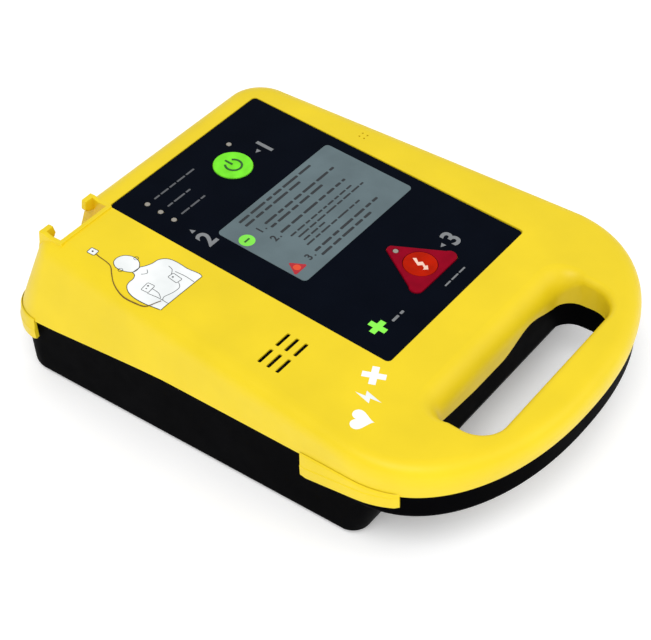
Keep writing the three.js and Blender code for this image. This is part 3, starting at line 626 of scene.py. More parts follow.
YELLOW = (0.85, 0.635, 0.01)
BLACK = (0.001, 0.001, 0.0014)
FINISHES = {
    "yellow_shell": moulded("yellow_shell", YELLOW, 0.42, Specular_IOR_Level=0.3),
    "black_shell": moulded("black_shell", BLACK, 0.5, 0.4, 0.01, tint=0.25, Specular_IOR_Level=0.006),
    "black_rubber": rubber("black_rubber", (0.012, 0.012, 0.012)),
    "membrane_black": film("membrane_black", (0.0022, 0.0035, 0.0075), 0.42, Specular_IOR_Level=0.012),
    "label_grey": film("label_grey", (0.115, 0.16, 0.175), 0.5, Specular_IOR_Level=0.2),
    # The last number for each cap below is the strength of its painted glow.
    "button_green": glowing("button_green", (0.19, 0.8, 0.035), 0.4, 0.03),
    "button_red": glowing("button_red", (0.27, 0.001, 0.014), 0.34, 0.02),
    "lens_orange": glowing("lens_orange", (0.46, 0.012, 0.001), 0.32, 0.02),
    "led_clear": moulded("led_clear", (0.3, 0.28, 0.24), 0.22, grain_mm=0.5, depth_mm=0.002),
    "socket_amber": moulded("socket_amber", (0.75, 0.26, 0.01), 0.45),
    "circuit_board": circuit("circuit_board", (0.015, 0.11, 0.04)),
    "component_black": moulded("component_black", (0.02, 0.02, 0.022), 0.55, grain_mm=0.2),
    "fastener_steel": metal("fastener_steel", (0.55, 0.55, 0.57), 0.32, along="Z"),
    "speaker_steel": metal("speaker_steel", (0.32, 0.32, 0.34), 0.42),
    "sink_aluminium": metal("sink_aluminium", (0.68, 0.69, 0.71), 0.35),
    "contact_brass": metal("contact_brass", (0.76, 0.54, 0.22), 0.28),
    "winding_copper": metal("winding_copper", (0.6, 0.24, 0.1), 0.36, along="X"),
    "cone_paper": rubber("cone_paper", (0.006, 0.006, 0.006), 0.9),
    "sleeve_blue": film("sleeve_blue", (0.02, 0.06, 0.24), 0.3),
    "battery_case": moulded(
        "battery_case", (0.006, 0.006, 0.007), 0.58, grain_mm=0.7, depth_mm=0.03, Specular_IOR_Level=0.02,
    ),
}
PRINT = {
    "grey": film("print_grey", (0.21, 0.22, 0.23), 0.5, Specular_IOR_Level=0.1),
    "dim": film("print_dim", (0.11, 0.115, 0.125), 0.5, Specular_IOR_Level=0.1),
    "white": film("print_white", (0.88, 0.92, 0.92), 0.42),
    "dark": film("print_dark", (0.012, 0.016, 0.02), 0.5),
    "brown": film("print_brown", (0.13, 0.06, 0.004), 0.5),
    "green": film("print_green", (0.22, 0.84, 0.06), 0.42),
    "dark_green": film("print_dark_green", (0.012, 0.09, 0.01), 0.45),
    "red": film("print_red", (0.42, 0.004, 0.016), 0.42),
    "orange": film("print_orange", (0.72, 0.06, 0.01), 0.42),
    "blush": film("print_blush", (0.9, 0.62, 0.5), 0.42),
}


def dress_frame_nodes():
    """Gives every CAD node that stays the finish of its slot."""
    for entry in frame["record"]["subparts"]:
        node = frame["nodes"][entry["node"]]
        node.data.materials.clear()
        node.data.materials.append(FINISHES[entry["material_slot"]])


# Yellow upper half -----------------------------------------------------------------
def panel_to_top(v):
    """Height of the sloping top above the panel's face, in the panel's own axes."""
    cos, sin = math.cos(PANEL_TILT), math.sin(PANEL_TILT)
    rise = TOP_REF[1] - PANEL_ORIGIN.z + (PANEL_ORIGIN.y - TOP_REF[0]) * TOP_SLOPE
    return (rise + np.asarray(v, float) * (cos * TOP_SLOPE - sin)) / (cos + sin * TOP_SLOPE)


def panel_pocket():
    base, normals = round_rect(
        -GAP, -GAP, PANEL_WIDTH + 2 * GAP, PANEL_HEIGHT + 2 * GAP, PANEL_CORNER, 8,
    )
    top = panel_to_top(base[:, 1])
    flare = np.minimum(0.9, top * 0.6)
    return on_panel(rim_cutter(base, normals, PANEL_FLOOR, top, flare, steps=5, above=30))


def panel_openings(low, high):
    caps = [post(*ON_OFF, low, high, ON_OFF_RADIUS + BUTTON_GAP, 72)]
    caps.append(prism(shock_outline(BUTTON_GAP)[0], low, high))
    return caps + [post(x, y, low, high, LED_RADIUS + GAP, 24) for x, y in LED_SPOTS]


def speaker_slots():
    slots = []
    for x0, x1 in SLOT_COLUMNS:
        for y in SLOT_ROWS:
            base, normals = round_rect(x0, y - SLOT_HALF, x1 - x0, 2 * SLOT_HALF, 0.6, 4)
            slots.append(rim_cutter(base, normals, 55, shell_height(base) + 0.02, 0.2, steps=3))
    return slots


def grille_pocket():
    """The wall is thin behind the speaker slots, so they look open."""
    margin = 2.9
    near, far = min(SLOT_ROWS) - margin, max(SLOT_ROWS) + margin
    ceiling = [(far, float(top_z(far)) - GRILLE_WALL), (near, float(top_z(near)) - GRILLE_WALL)]
    return side_prism([(near, 60), (far, 60)] + ceiling, SLOT_COLUMNS[0][0] - 2, SLOT_COLUMNS[1][1] + 1.8)


def shell_height(points):
    """Height of the flat top, less what the rounded shoulder drops at these points."""
    points = np.asarray(points, float)
    x, y = np.abs(points[:, 0]), points[:, 1]
    t = np.clip((y - SHOULDER["arc_start"]) / 189, 0, 1)
    edge = SHOULDER["handle_half"] + (SHOULDER["connector_half"] - SHOULDER["handle_half"]) * t
    over = np.clip((x - (edge - ROUND_SIDE)) / (ROUND_SIDE * 2), 0, 1)
    return top_z(y) - over ** 2 * ROUND_SIDE * 1.1


def microphone_holes():
    x, y = MICROPHONE
    return [post(x + dx, y + dy, 60, 100, 0.6, 16) for dx in (-1.6, 1.6) for dy in (-1.6, 1.6)]


def side_prism(section, x0, x1):
    """A prism along X whose section is drawn in Y and Z, anticlockwise seen from +X."""
    return loft([[(x0, y, z) for y, z in section], [(x1, y, z) for y, z in section]])


def port_rim():
    """The raised lip round the port. Its side walls end in inturned horns that guide the plug."""
    rim, tip = PORT["rim"], PORT["horn_tip"]
    left, right = PORT["left"], PORT["right"]
    y0 = PORT["inner_y"] - rim
    lip = float(top_z(y0)) + 1.0
    inner, outer = PORT["horn_y"]
    cheek = [(y0, 70), (outer + 5, 70), (outer + 1.4, 81), (outer, tip), (inner, tip)]
    cheek += [(inner - 1.6, lip + 0.9), (inner - 4, lip), (y0, lip)]
    cheeks = [side_prism(cheek, left - rim, left), side_prism(cheek, right, right + rim - GAP)]
    back = block(left - rim, right + rim - GAP, y0, y0 + rim, 70, lip)
    return [soften(piece, 0.4, 3) for piece in cheeks] + [soften(back, 0.35, 3)]


def port_horns():
    """The parts of the horns that stand inside the port's width."""
    inner, outer = PORT["horn_y"]
    left, right, tip, reach = PORT["left"], PORT["right"], PORT["horn_tip"], PORT["horn_reach"]
    horns = []
    for wall, inward in ((left, 1), (right, -1)):
        section = [(wall - inward, tip - 8.5), (wall + inward * (reach - 1.5), tip - 7)]
        section += [(wall + inward * reach, tip - 5), (wall + inward * (reach - 1.2), tip)]
        section += [(wall - inward, tip)]
        section = section if inward > 0 else section[::-1]
        near = [(x, inner, z) for x, z in section]
        far = [(x, outer, z) for x, z in section]
        horns.append(soften(loft([far, near]), 0.5, 3))
    return horns


def case_hollow():
    low = PANEL_FLOOR - 2.6
    around = block(-WALL, PANEL_WIDTH + WALL, -WALL, PANEL_HEIGHT + WALL, low, 40)
    rim = PORT["rim"]
    walls = block(
        PORT["left"] - rim, PORT["right"] + rim, PORT["inner_y"] - rim, 170, PORT["floor_z"] - rim, 100,
    )
    bosses = [post(x, y, 30, 95, UPPER_BOSS, 16) for x, y in TRAY_SCREWS + HANDLE_SCREWS]
    return cut(
        upper_body(-WALL, COARSE, 4),
        grip_column(GRIP["collar"] + GAP + WALL, 0, 120), grip_shoulder(),
        on_panel(around), walls, *bosses,
    )


def front_housing():
    shell = cut(upper_body(edge=EDGE), case_hollow())
    unite(shell, *port_rim())
    port = block(PORT["left"], PORT["right"], PORT["inner_y"], 170, PORT["floor_z"], 110)
    pilots = [post(x, y, 20, 55, SCREW_BORE, 12) for x, y in TRAY_SCREWS + HANDLE_SCREWS]
    cut(
        shell,
        parting_wedge(False, GAP / 2 - 0.03),
        grip_cutter(),
        grip_column(GRIP["collar"] + GAP, 0, 0, lip=GAP / 2),
        port,
        panel_pocket(),
        *[on_panel(tool) for tool in panel_openings(-8, 4)],
        grille_pocket(), *speaker_slots(), *microphone_holes(), *pilots,
    )
    unite(shell, *port_horns())
    finish_piece(shell, "case_upper_half", "yellow_shell", "front_housing")


# Black lower half ------------------------------------------------------------------
def tray_ring(height, pull, detail=12):
    rise = (height - GROUND_CLEARANCE) / (WAIST_Z - GROUND_CLEARANCE)
    half, far, near, far_radius = (
        TRAY[key][0] + (TRAY[key][1] - TRAY[key][0]) * rise + sign * pull
        for key, sign in (("half", -1), ("far", -1), ("near", 1), ("far_radius", -1))
    )
    near_radius = TRAY_NEAR_RADIUS
    plan = []
    quarter = math.pi / 2
    for k, (sign, is_near) in enumerate(((1, True), (1, False), (-1, False), (-1, True))):
        radius = near_radius if is_near else far_radius
        cy = near + radius if is_near else far - radius
        plan += corner_arc(sign * (half - radius), cy, radius, (k - 1) * quarter, k * quarter, detail)[0]
    return ring_at(plan, height)


def tray(inset=0.0, floor=GROUND_CLEARANCE, detail=12):
    rings = []
    steps = 8 if detail > 6 else 4
    for rise, pull in ease_steps(steps):
        rings.append(tray_ring(floor + TRAY_EDGE["rise"] * rise, inset + TRAY_EDGE["pull"] * pull, detail))
    rings.append(tray_ring(60, inset, detail))
    return loft(rings)


def handle_skirt(inset, underside, detail=FINE, edge=0.0):
    rings = []
    for rise, pull in ease_steps(6):
        plan = outline(WAIST, -inset - SKIRT_INSET - SKIRT_EDGE["pull"] * pull, **detail)
        rings.append(ring_at(plan, underside + SKIRT_EDGE["rise"] * rise))
    plan = outline(WAIST, -inset - SKIRT_INSET, **detail)
    if edge:
        joint = parting_z(plan[:, 1]) - GAP / 2
        for pull, rise in ease_steps(4):
            curled = outline(WAIST, -inset - SKIRT_INSET - edge * pull, **detail)
            rings.append(ring_at(curled, joint - edge * rise))
        rings.append(ring_at(curled, joint + 12))
    else:
        rings.append(ring_at(plan, 64))
    return loft(rings)


def battery_well(grow, inner_y):
    half = BATTERY["half"] + grow
    return block(-half, half, inner_y, 170, BATTERY["bottom"] - grow, BATTERY["top"] + grow)


def contact_slots(grow):
    half = CONTACT["half"] + grow
    near, far = BATTERY["inner_y"] - 14, BATTERY["inner_y"] + 8 + grow
    low, high = CONTACT["low"] - grow, CONTACT["high"] + grow
    return [block(x - half, x + half, near, far, low, high) for x in (-CONTACT["x"], CONTACT["x"])]


def rear_housing():
    tubes = [post(x, y, 0, 60, TRAY_BOSS, 16) for x, y in TRAY_SCREWS]
    tubes += [post(x, y, 30, 60, HANDLE_BOSS, 16) for x, y in HANDLE_SCREWS]
    hollow = tray(WALL, GROUND_CLEARANCE + WALL, 5)
    unite(hollow, handle_skirt(WALL, HANDLE_UNDERSIDE + WALL, COARSE))
    cut(
        hollow, grip_column(GRIP["collar"], 0, 120),
        battery_well(GAP + WALL, BATTERY["inner_y"] - GAP - WALL), *tubes,
    )
    skirt = keep(handle_skirt(0, HANDLE_UNDERSIDE, edge=EDGE), block(-150, 150, -200, -70, 0, 100))
    shell = cut(unite(tray(), skirt), hollow, parting_wedge(True, -GAP / 2))
    unite(shell, grip_column(GRIP["collar"], HANDLE_UNDERSIDE + 1.2, 0, lip=-GAP / 2))
    base, normals, _ = grip_base()
    # The slot's lower mouth is eased by a small round, drawn upside down and turned over.
    mouth = rim_cutter(base, normals, -120, -HANDLE_UNDERSIDE, 1.6, steps=6)
    mouth.data.transform(Matrix.Scale(-1, 4, (0, 0, 1)))
    mouth.data.flip_normals()
    wells = [rounded_well(x, y, SCREW_HEAD + 0.6, GROUND_CLEARANCE, TRAY_SEAT) for x, y in TRAY_SCREWS]
    wells += [rounded_well(x, y, SCREW_HEAD + 0.4, HANDLE_UNDERSIDE, HANDLE_SEAT) for x, y in HANDLE_SCREWS]
    bores = [post(x, y, 0, 60, SCREW_BORE, 16) for x, y in TRAY_SCREWS + HANDLE_SCREWS]
    feet = [rounded_well(x, y, FOOT_RADIUS + GAP, GROUND_CLEARANCE, 2.5, 48) for x, y in FEET]
    cut(
        shell, mouth, battery_well(GAP, BATTERY["inner_y"] - GAP),
        *contact_slots(GAP), *wells, *bores, *feet,
    )
    finish_piece(shell, "case_lower_half", "black_shell", "rear_housing")


def rounded_well(x, y, radius, mouth, seat, sides=32, ease=0.4):
    """A round hole from below whose mouth is eased."""
    wide, between = radius + ease, radius + ease * 0.3
    profile = [(wide, mouth - 6), (wide, mouth - 0.02), (between, mouth + ease * 0.3)]
    return turned(x, y, profile + [(radius, mouth + ease), (radius, seat)], sides)


# Yellow corner guards ----------------------------------------------------------------
def guard(name, node, wanted, low_at):
    """A band swept along the case's waist over the points that wanted() accepts."""
    detail = dict(FINE, side_steps=60)
    face, seat = GUARD["face"], GUARD["seat"]
    waist = outline(WAIST, 0, **detail)
    shoulder = outline(SHOULDER, 0, **detail)
    lean_per_mm = (shoulder - waist) / (top_z(shoulder[:, 1]) - WAIST_Z)[:, None]
    ahead = np.roll(waist, -1, 0) - np.roll(waist, 1, 0)
    normals = np.column_stack([ahead[:, 1], -ahead[:, 0]]) / np.linalg.norm(ahead, axis=1)[:, None]
    picked = [i for i in range(len(waist)) if wanted(*waist[i])]
    start = next(k for k, i in enumerate(picked) if picked[k - 1] != i - 1)
    picked = picked[start:] + picked[:start]
    rings = []
    for k, i in enumerate(picked):
        at_end = k in (0, len(picked) - 1)
        ease = GUARD["end_round"] if at_end else 0.0
        lean = float(lean_per_mm[i] @ normals[i])
        joint = float(parting_z(waist[i][1]))
        low = low_at(waist[i][1])
        brow = low + GUARD["brow"]
        high = max(joint + GUARD["over_joint"], brow + 1.0)

        def wall(z):
            return lean * max(0.0, z - WAIST_Z) + GAP

        section = [
            (seat, low + 0.5), (face - 0.9, low), (face - 0.3, low + 0.15), (face, low + 0.7),
            (face, brow - 0.5), (face - 0.1, brow - 0.15), (face - 0.35, brow + 0.1),
            (wall(high) + 0.9, high - 1.1), (wall(high) + 0.35, high - 0.25), (wall(high), high),
            (wall(joint + 1), joint + 1), (wall(joint), joint), (seat, joint - 0.6),
        ]
        ring = []
        for offset, z in section:
            x, y = waist[i] + normals[i] * (offset - ease if offset > 0.6 else offset)
            ring.append((x, y, z + ease if z < joint - 3 else z))
        rings.append(ring)
    band = loft(rings)
    band.data.flip_normals()
    finish_piece(band, name, "yellow_shell", node, crease=40)


def handle_guard_low(y):
    """The handle guards narrow towards the grip."""
    return float(np.interp(y, HANDLE_GUARD["low_y"], HANDLE_GUARD["low_z"]))


def corner_guards():
    near, far = HANDLE_GUARD["ends"]
    for side, sign in (("left", -1), ("right", 1)):
        guard(
            f"handle_guard_{side}", f"corner_guard_handle_{side}",
            lambda x, y: sign * x > HANDLE_GUARD["side"] and near < y < far, handle_guard_low,
        )
        guard(
            f"port_guard_{side}", f"corner_guard_port_{side}",
            lambda x, y: sign * x > PORT_GUARD["side"] and y > PORT_GUARD["start"],
            lambda y: PORT_GUARD["low_z"],
        )


# Keypad panel --------------------------------------------------------------------------
def membrane():
    base, normals = round_rect(0, 0, PANEL_WIDTH, PANEL_HEIGHT, PANEL_CORNER, 10)
    sheet = rounded_cap(base, normals, -SHEET, 0.0, 0.15, 3)
    x, y, w, h = LABEL["x"] - GAP, LABEL["y"] - GAP, LABEL["width"] + 2 * GAP, LABEL["height"] + 2 * GAP
    bed, _ = round_rect(x, y, w, h, LABEL["corner"] + GAP, 10)
    cut(sheet, prism(bed, LABEL_BED, 2), *panel_openings(-8, 4))
    finish_piece(on_panel(sheet), "keypad_overlay", "membrane_black", "membrane_panel")
    base, normals = round_rect(LABEL["x"], LABEL["y"], LABEL["width"], LABEL["height"], LABEL["corner"], 10)
    label = rounded_cap(base, normals, -0.25, 0.05, 0.08, 3)
    finish_piece(on_panel(label), "instruction_plate", "label_grey", "instruction_label")


def domed_post(x, y, low, high, radius, dome):
    """A round post with a domed end."""
    profile = [(radius, low), (radius, high - dome)]
    for i in range(1, 8):
        turn = math.radians(82) * i / 7
        profile.append((radius * math.cos(turn), high - dome + dome * math.sin(turn)))
    return on_panel(turned(x, y, profile, 40))


def lamps():
    names = ["status_led_upper", "status_led_middle", "status_led_lower", "power_led"]
    for name, (x, y) in zip(names, LED_SPOTS):
        lamp = domed_post(x, y, -4.4, 0.35, LED_RADIUS, 0.45)
        finish_piece(lamp, name + "_lens", "led_clear", name)
    lamp = domed_post(SHOCK_X, SHOCK_LED_Y, -2.2, BUTTON_TOP + 0.25, LED_RADIUS, 0.4)
    finish_piece(lamp, "shock_led_lens", "led_clear", "shock_led", "shock")


def turned(x, y, profile, sides=96):
    return loft([ring_at(circle(x, y, radius, sides), z) for radius, z in profile])


def on_off_button():
    rim = ON_OFF_RADIUS
    top = BUTTON_TOP
    flange = rim + BUTTON_FLANGE
    profile = [(flange, BUTTON_UNDER), (flange, BUTTON_STEP), (rim, BUTTON_STEP + 0.01), (rim, top - 0.7)]
    profile += [
        (rim - 0.7 + 0.7 * math.cos(t), top - 0.7 + 0.55 * math.sin(t))
        for t in np.linspace(0.2, math.pi / 2, 6)
    ]
    # The face is very slightly dished for the fingertip.
    profile += [(rim * f, top - 0.15 - 0.25 * (1 - f * f)) for f in (0.8, 0.6, 0.4, 0.2)]
    cap = on_panel(turned(*ON_OFF, profile))
    finish_piece(cap, "on_off_cap", "button_green", "on_off_button", "on_off")


def shock_button():
    top = BUTTON_TOP
    cap = rounded_cap(*shock_outline(0), BUTTON_STEP + 0.01, top, 0.8, 8)
    flange = prism(shock_outline(BUTTON_FLANGE)[0], BUTTON_UNDER, BUTTON_STEP + 0.03)
    unite(cap, flange)
    cut(
        cap, post(SHOCK_X, SHOCK_DISC_Y, -0.9, 5, SHOCK_LENS + GAP, 96),
        post(SHOCK_X, SHOCK_LED_Y, -8, 5, LED_RADIUS + GAP, 32),
    )
    finish_piece(on_panel(cap), "shock_cap", "button_red", "shock_button", "shock")
    rim = SHOCK_LENS
    profile = [(rim, -0.6), (rim, top - 0.25)]
    profile += [(rim - 0.5 * (1 - math.cos(t)), top - 0.25 + 0.45 * math.sin(t)) for t in (0.4, 0.8, 1.2)]
    profile += [(rim * f, top + 0.24 - 0.06 * f * f) for f in (0.85, 0.6, 0.3)]
    lens = on_panel(turned(SHOCK_X, SHOCK_DISC_Y, profile))
    finish_piece(lens, "shock_lens", "lens_orange", "shock_button_lens", "shock")


# Printing -------------------------------------------------------------------------------
def join_pieces(pieces, name):
    """Joins meshes that don't touch into one piece."""
    points = []
    faces = []
    for piece in pieces:
        shift = len(points)
        points += [tuple(v.co) for v in piece.data.vertices]
        faces += [tuple(shift + i for i in polygon.vertices) for polygon in piece.data.polygons]
        bpy.data.objects.remove(piece)
    return mesh_object(name, points, faces)


def print_on_panel(name, outlines, ink, height=0.0, thickness=0.03, body="case", slot="membrane_black"):
    low = height + 0.005
    marks = join_pieces([prism(o, low, low + thickness) for o in outlines], name)
    finish_piece(on_panel(marks), name, slot, None, body, ink)


def stroke(points, width):
    """A ribbon of even width with square ends along a smooth line."""
    points = np.asarray(points, float)
    step = np.gradient(points, axis=0)
    step /= np.linalg.norm(step, axis=1)[:, None]
    normal = np.column_stack([step[:, 1], -step[:, 0]]) * width / 2
    return np.concatenate([points + normal, (points - normal)[::-1]])


def curve_through(points, steps=8, closed=False):
    """A smooth line through a few points (Catmull-Rom)."""
    points = [np.array(p, float) for p in points]
    count = len(points)
    smooth = []
    for i in range(count if closed else count - 1):
        if closed:
            p = [points[(i + k) % count] for k in (-1, 0, 1, 2)]
        else:
            p = [points[max(i - 1, 0)], points[i], points[i + 1], points[min(i + 2, count - 1)]]
        for k in range(steps):
            t = k / steps
            smooth.append(0.5 * (
                2 * p[1] + (p[2] - p[0]) * t + (2 * p[0] - 5 * p[1] + 4 * p[2] - p[3]) * t ** 2
                + (3 * p[1] - p[0] - 3 * p[2] + p[3]) * t ** 3
            ))
    if not closed:
        smooth.append(points[-1])
    return np.array(smooth)


def digit(character, x, y, tall, ink, name, height=0.0, bold=0.035):
    """A generic numeral, centred at x, y on the panel."""
    words = bpy.data.curves.new(name, "FONT")
    words.body = character
    words.size = tall * 1.4
    words.offset = bold * tall
    words.extrude = 0.015
    words.align_x = "CENTER"
    words.resolution_u = 12
    letters = new_object(name, words)
    graph = bpy.context.evaluated_depsgraph_get()
    mesh = bpy.data.meshes.new_from_object(letters.evaluated_get(graph))
    bpy.data.objects.remove(letters)
    piece = new_object(name, mesh)
    mesh.transform(Matrix.Translation((x, y - tall / 2, height + 0.02)))
    finish_piece(on_panel(piece), name, "membrane_black", ink=ink)


def arrow_head(x, y, size, facing):
    """A small triangle that points along facing, in degrees."""
    turns = [math.radians(facing + a) for a in (0, 128, 232)]
    return [(x + size * math.cos(t), y + size * math.sin(t)) for t in turns]


def cross_outline(arm, reach):
    return np.array([
        (-arm, -reach), (arm, -reach), (arm, -arm), (reach, -arm), (reach, arm), (arm, arm),
        (arm, reach), (-arm, reach), (-arm, arm), (-reach, arm), (-reach, -arm), (-arm, -arm),
    ])


def word_bars(x0, x1, y, tall, seed):
    """A row of word-length dashes that stands for a line of print."""
    chance = random.Random(seed)
    bars = []
    x = x0
    while x < x1 - tall:
        length = min(chance.uniform(1.6, 5.2) * tall, x1 - x)
        bars.append(round_rect(x, y - tall * 0.32, length, tall * 0.64, tall * 0.2, 2)[0])
        x += length + tall * 0.62
    return bars


def panel_print():
    digit("1", 91.3, 150.3, 11.0, "grey", "numeral_1")
    digit("2", 12.7, 126.1, 11.0, "grey", "numeral_2")
    digit("3", 93.9, 27.3, 11.0, "grey", "numeral_3")
    spots = ((85.6, 150.3, 180), (12.5, 135.4, 90), (86.6, 27.3, 180))
    pointers = [arrow_head(x, y, 1.9, facing) for x, y, facing in spots]
    print_on_panel("numeral_pointers", pointers, "grey")
    lamp_words = word_bars(19.2, 54, 167.5, 1.7, 3) + word_bars(19.2, 40, 158.1, 1.7, 8)
    lamp_words += word_bars(19.2, 38.5, 148.6, 1.7, 5)
    print_on_panel("lamp_captions", lamp_words, "dim")
    print_on_panel("shock_caption", word_bars(62, 80, 9.0, 1.5, 12), "grey")
    print_on_panel("green_cross", [cross_outline(1.7, 5.1) + (16.5, 18.5)], "green")
    print_on_panel("cross_caption", word_bars(24.5, 34, 15.2, 2.4, 21), "grey")


def label_print():
    """Numbered steps on the instruction plate, with dashes in place of words."""
    face = 0.05
    rows = [
        (33, 98, 120.4, 2.5), (33, 82, 116.2, 2.5), (41, 101, 109.5, 2.5), (41, 88, 105.3, 2.5),
        (41, 97, 98.8, 2.5), (42, 95, 93.0, 1.8), (44, 101, 89.4, 1.8), (44, 62, 85.9, 1.8),
        (42, 88, 82.3, 1.8), (41, 99, 76.2, 2.5), (41, 84, 71.8, 2.5),
    ]
    bars = []
    for i, (x0, x1, y, tall) in enumerate(rows):
        bars += word_bars(x0, x1, y, tall, 40 + i)
    print_on_panel("instruction_lines", bars, "dark", face, slot="label_grey")
    steps = (108.7, 98.8, 76.2)
    for i, y in enumerate(steps):
        digit(str(i + 1), 35.3, y, 4.6, "dark", f"step_{i + 1}", face, 0.04)
    print_on_panel("step_points", [circle(38.6, y - 2.0, 0.55, 16) for y in steps], "dark", face)
    print_on_panel("step_button_mark", [circle(25, steps[0], 4.4, 48)], "green", face)
    bar = stroke([(x, steps[0]) for x in (23, 25, 27)], 1.1)
    print_on_panel("step_button_bar", [bar], "dark_green", face + 0.03)
    small, _ = shock_outline()
    small = (small - np.array((SHOCK_X, 30.0))) * 0.245 + np.array((25.2, 76.4))
    print_on_panel("step_shock_mark", [small], "red", face)
    print_on_panel("step_shock_dot", [circle(25.2, 75.9, 2.1, 32)], "orange", face + 0.03)


def button_print():
    """A power sign on the green cap and a bolt on the shock lens."""
    x, y = ON_OFF
    turns = np.radians(np.linspace(128, 412, 40))
    ring = np.column_stack([x + 4.6 * np.cos(turns), y - 0.4 + 4.6 * np.sin(turns)])
    bar = [(x, y + 0.4), (x, y + 2.5), (x, y + 5.6)]
    sign = [stroke(ring, 1.15), stroke(bar, 1.15)]
    print_on_panel("power_sign", sign, "dark_green", BUTTON_TOP - 0.4, 0.3, "on_off", "button_green")
    bolt = [
        (-1.0, 6.2), (0.9, 5.0), (-0.3, 1.6), (2.1, 0.5), (1.3, -3.2), (2.7, -3.6), (0.9, -6.6),
        (-1.9, -5.0), (-0.5, -4.3), (0.2, -1.7), (-2.3, -0.6),
    ][::-1]
    bolt = 0.88 * spun(bolt, math.radians(-18)) + (SHOCK_X, SHOCK_DISC_Y)
    print_on_panel("shock_bolt", [bolt], "blush", BUTTON_TOP + 0.1, 0.16, "shock", "lens_orange")


def skin_print(name, outlines, ink, height, thickness=0.03):
    """Marks that follow the curved top of the case, cut from a thin skin over it."""
    shell = cut(upper_body(height + thickness), upper_body(height))
    stamps = join_pieces([prism(o, 55, 100) for o in outlines], name)
    marks = keep(shell, stamps)
    finish_piece(marks, name, "yellow_shell", ink=ink)


def signed_area(points):
    x, y = np.asarray(points, float).T
    return 0.5 * float(np.sum(x * np.roll(y, -1) - y * np.roll(x, -1)))


def forward(points):
    """The same outline, anticlockwise."""
    points = np.asarray(points, float)
    return points if signed_area(points) > 0 else points[::-1]


def placement_figure():
    """The printed figure that shows where the pads go: a generic line-drawn torso."""
    shoulders = curve_through([
        (-79.9, 73.4), (-80.8, 71.2), (-83.4, 70.0), (-86.2, 70.0), (-89.2, 69.0), (-91.4, 66.0),
        (-92.4, 61.8), (-92.6, 56.4), (-92.2, 51.2), (-91.2, 44.6),
    ], 4)
    far_arm = curve_through([
        (-60.0, 44.2), (-59.3, 47.0), (-60.2, 53.7), (-59.9, 59.4), (-60.3, 64.4), (-62.0, 67.6),
        (-64.8, 69.6), (-68.8, 70.2), (-72.6, 71.8), (-74.2, 73.0),
    ], 4)
    body = forward(np.concatenate([shoulders, far_arm]))
    head = curve_through([
        (-78.4, 72.9), (-74.8, 73.4), (-71.6, 76.6), (-71.0, 81.0), (-73.0, 85.0), (-76.6, 86.8),
        (-80.2, 86.0), (-82.4, 82.6), (-82.2, 78.4), (-80.6, 74.6),
    ], 5, closed=True)
    ears = [forward(circle(-70.9, 79.0, 1.2, 20)), forward(circle(-82.4, 79.4, 1.2, 20))]
    pads = [
        round_rect_at(-83.4, 60.0, 6.0, 4.4, 6), round_rect_at(-69.5, 54.1, 4.0, 6.4, -6),
    ]
    plug = round_rect_at(-81.0, 99.6, 4.2, 4.8, 4)
    skin_print("figure_body", [body], "white", 0.01)
    skin_print("figure_head", [forward(head)], "white", 0.05)
    skin_print("figure_plug", [plug], "white", 0.01)
    lines = [closed_stroke(o) for o in (body, head, plug)]
    lines += [closed_stroke(o, 0.28) for o in pads + ears]
    for points in (
        [(-65.8, 57.2), (-65.2, 51.0), (-65.6, 44.8)], [(-86.6, 57.6), (-85.6, 51.0), (-85.6, 44.8)],
        [(-73.6, 69.2), (-75.7, 67.3), (-78.2, 69.2)],
        [(-70.8, 50.6), (-73.2, 47.9), (-78.0, 48.0), (-83.2, 49.4), (-85.4, 48.4)],
        [(-82.6, 57.7), (-82.9, 53.4), (-85.0, 50.2)], [(-64.8, 62.4), (-65.6, 59.4), (-68.4, 57.4)],
    ):
        lines.append(stroke(curve_through(points, 6), 0.28))
    skin_print("figure_lines", [forward(o) for o in lines], "dark", 0.09)
    dots = [circle(-82.4, 60.8, 0.5, 12), circle(-84.4, 60.2, 0.35, 12), circle(-69.6, 55.4, 0.5, 12)]
    dots += [circle(-80.9, 99.8, 0.55, 12)]
    skin_print("figure_dots", dots, "dark", 0.13)
    lead = curve_through([
        (-81.3, 97.2), (-81.9, 94.0), (-82.4, 89.0), (-83.6, 85.0), (-87.4, 80.8), (-90.8, 76.8),
        (-93.2, 71.8), (-94.4, 66.4), (-94.4, 59.6), (-93.8, 54.0), (-91.6, 51.0), (-86.4, 48.6),
    ], 6)
    skin_print("figure_lead", [forward(stroke(lead, 0.5))], "brown", 0.17)


def round_rect_at(x, y, width, height, degrees):
    points, _ = round_rect(-width / 2, -height / 2, width, height, 0.7, 4)
    return spun(points, math.radians(degrees)) + (x, y)


def closed_stroke(points, width=0.36):
    """A ribbon round a closed line, cut so that its ends just don't touch."""
    points = np.asarray(points, float)
    around = np.concatenate([points, points[:1] + (points[1:2] - points[:1]) * -0.02])
    return stroke(around, width)


def white_glyphs():
    """Heart, bolt and cross in white, where the case carries its large marking."""
    turn = math.radians(25)
    middle = np.array((-74.0, -70.0))

    def place(points, x):
        return forward(spun(1.2 * (np.asarray(points, float) + (x, 0.0)), turn) + middle)

    t = np.linspace(0, 2 * math.pi, 72, False)
    heart = np.column_stack([
        5.2 * np.sin(t) ** 3,
        (13 * np.cos(t) - 5 * np.cos(2 * t) - 2 * np.cos(3 * t) - np.cos(4 * t)) * 0.325 + 0.6,
    ])
    bolt = [(1.6, 5.6), (-3.2, -0.8), (-0.5, -0.8), (-1.8, -5.6), (3.2, 1.2), (0.4, 1.2)]
    marks = [place(heart, -12.5), place(bolt, 0), place(cross_outline(1.5, 5.0), 12.0)]
    skin_print("white_glyphs", marks, "white", 0.01)


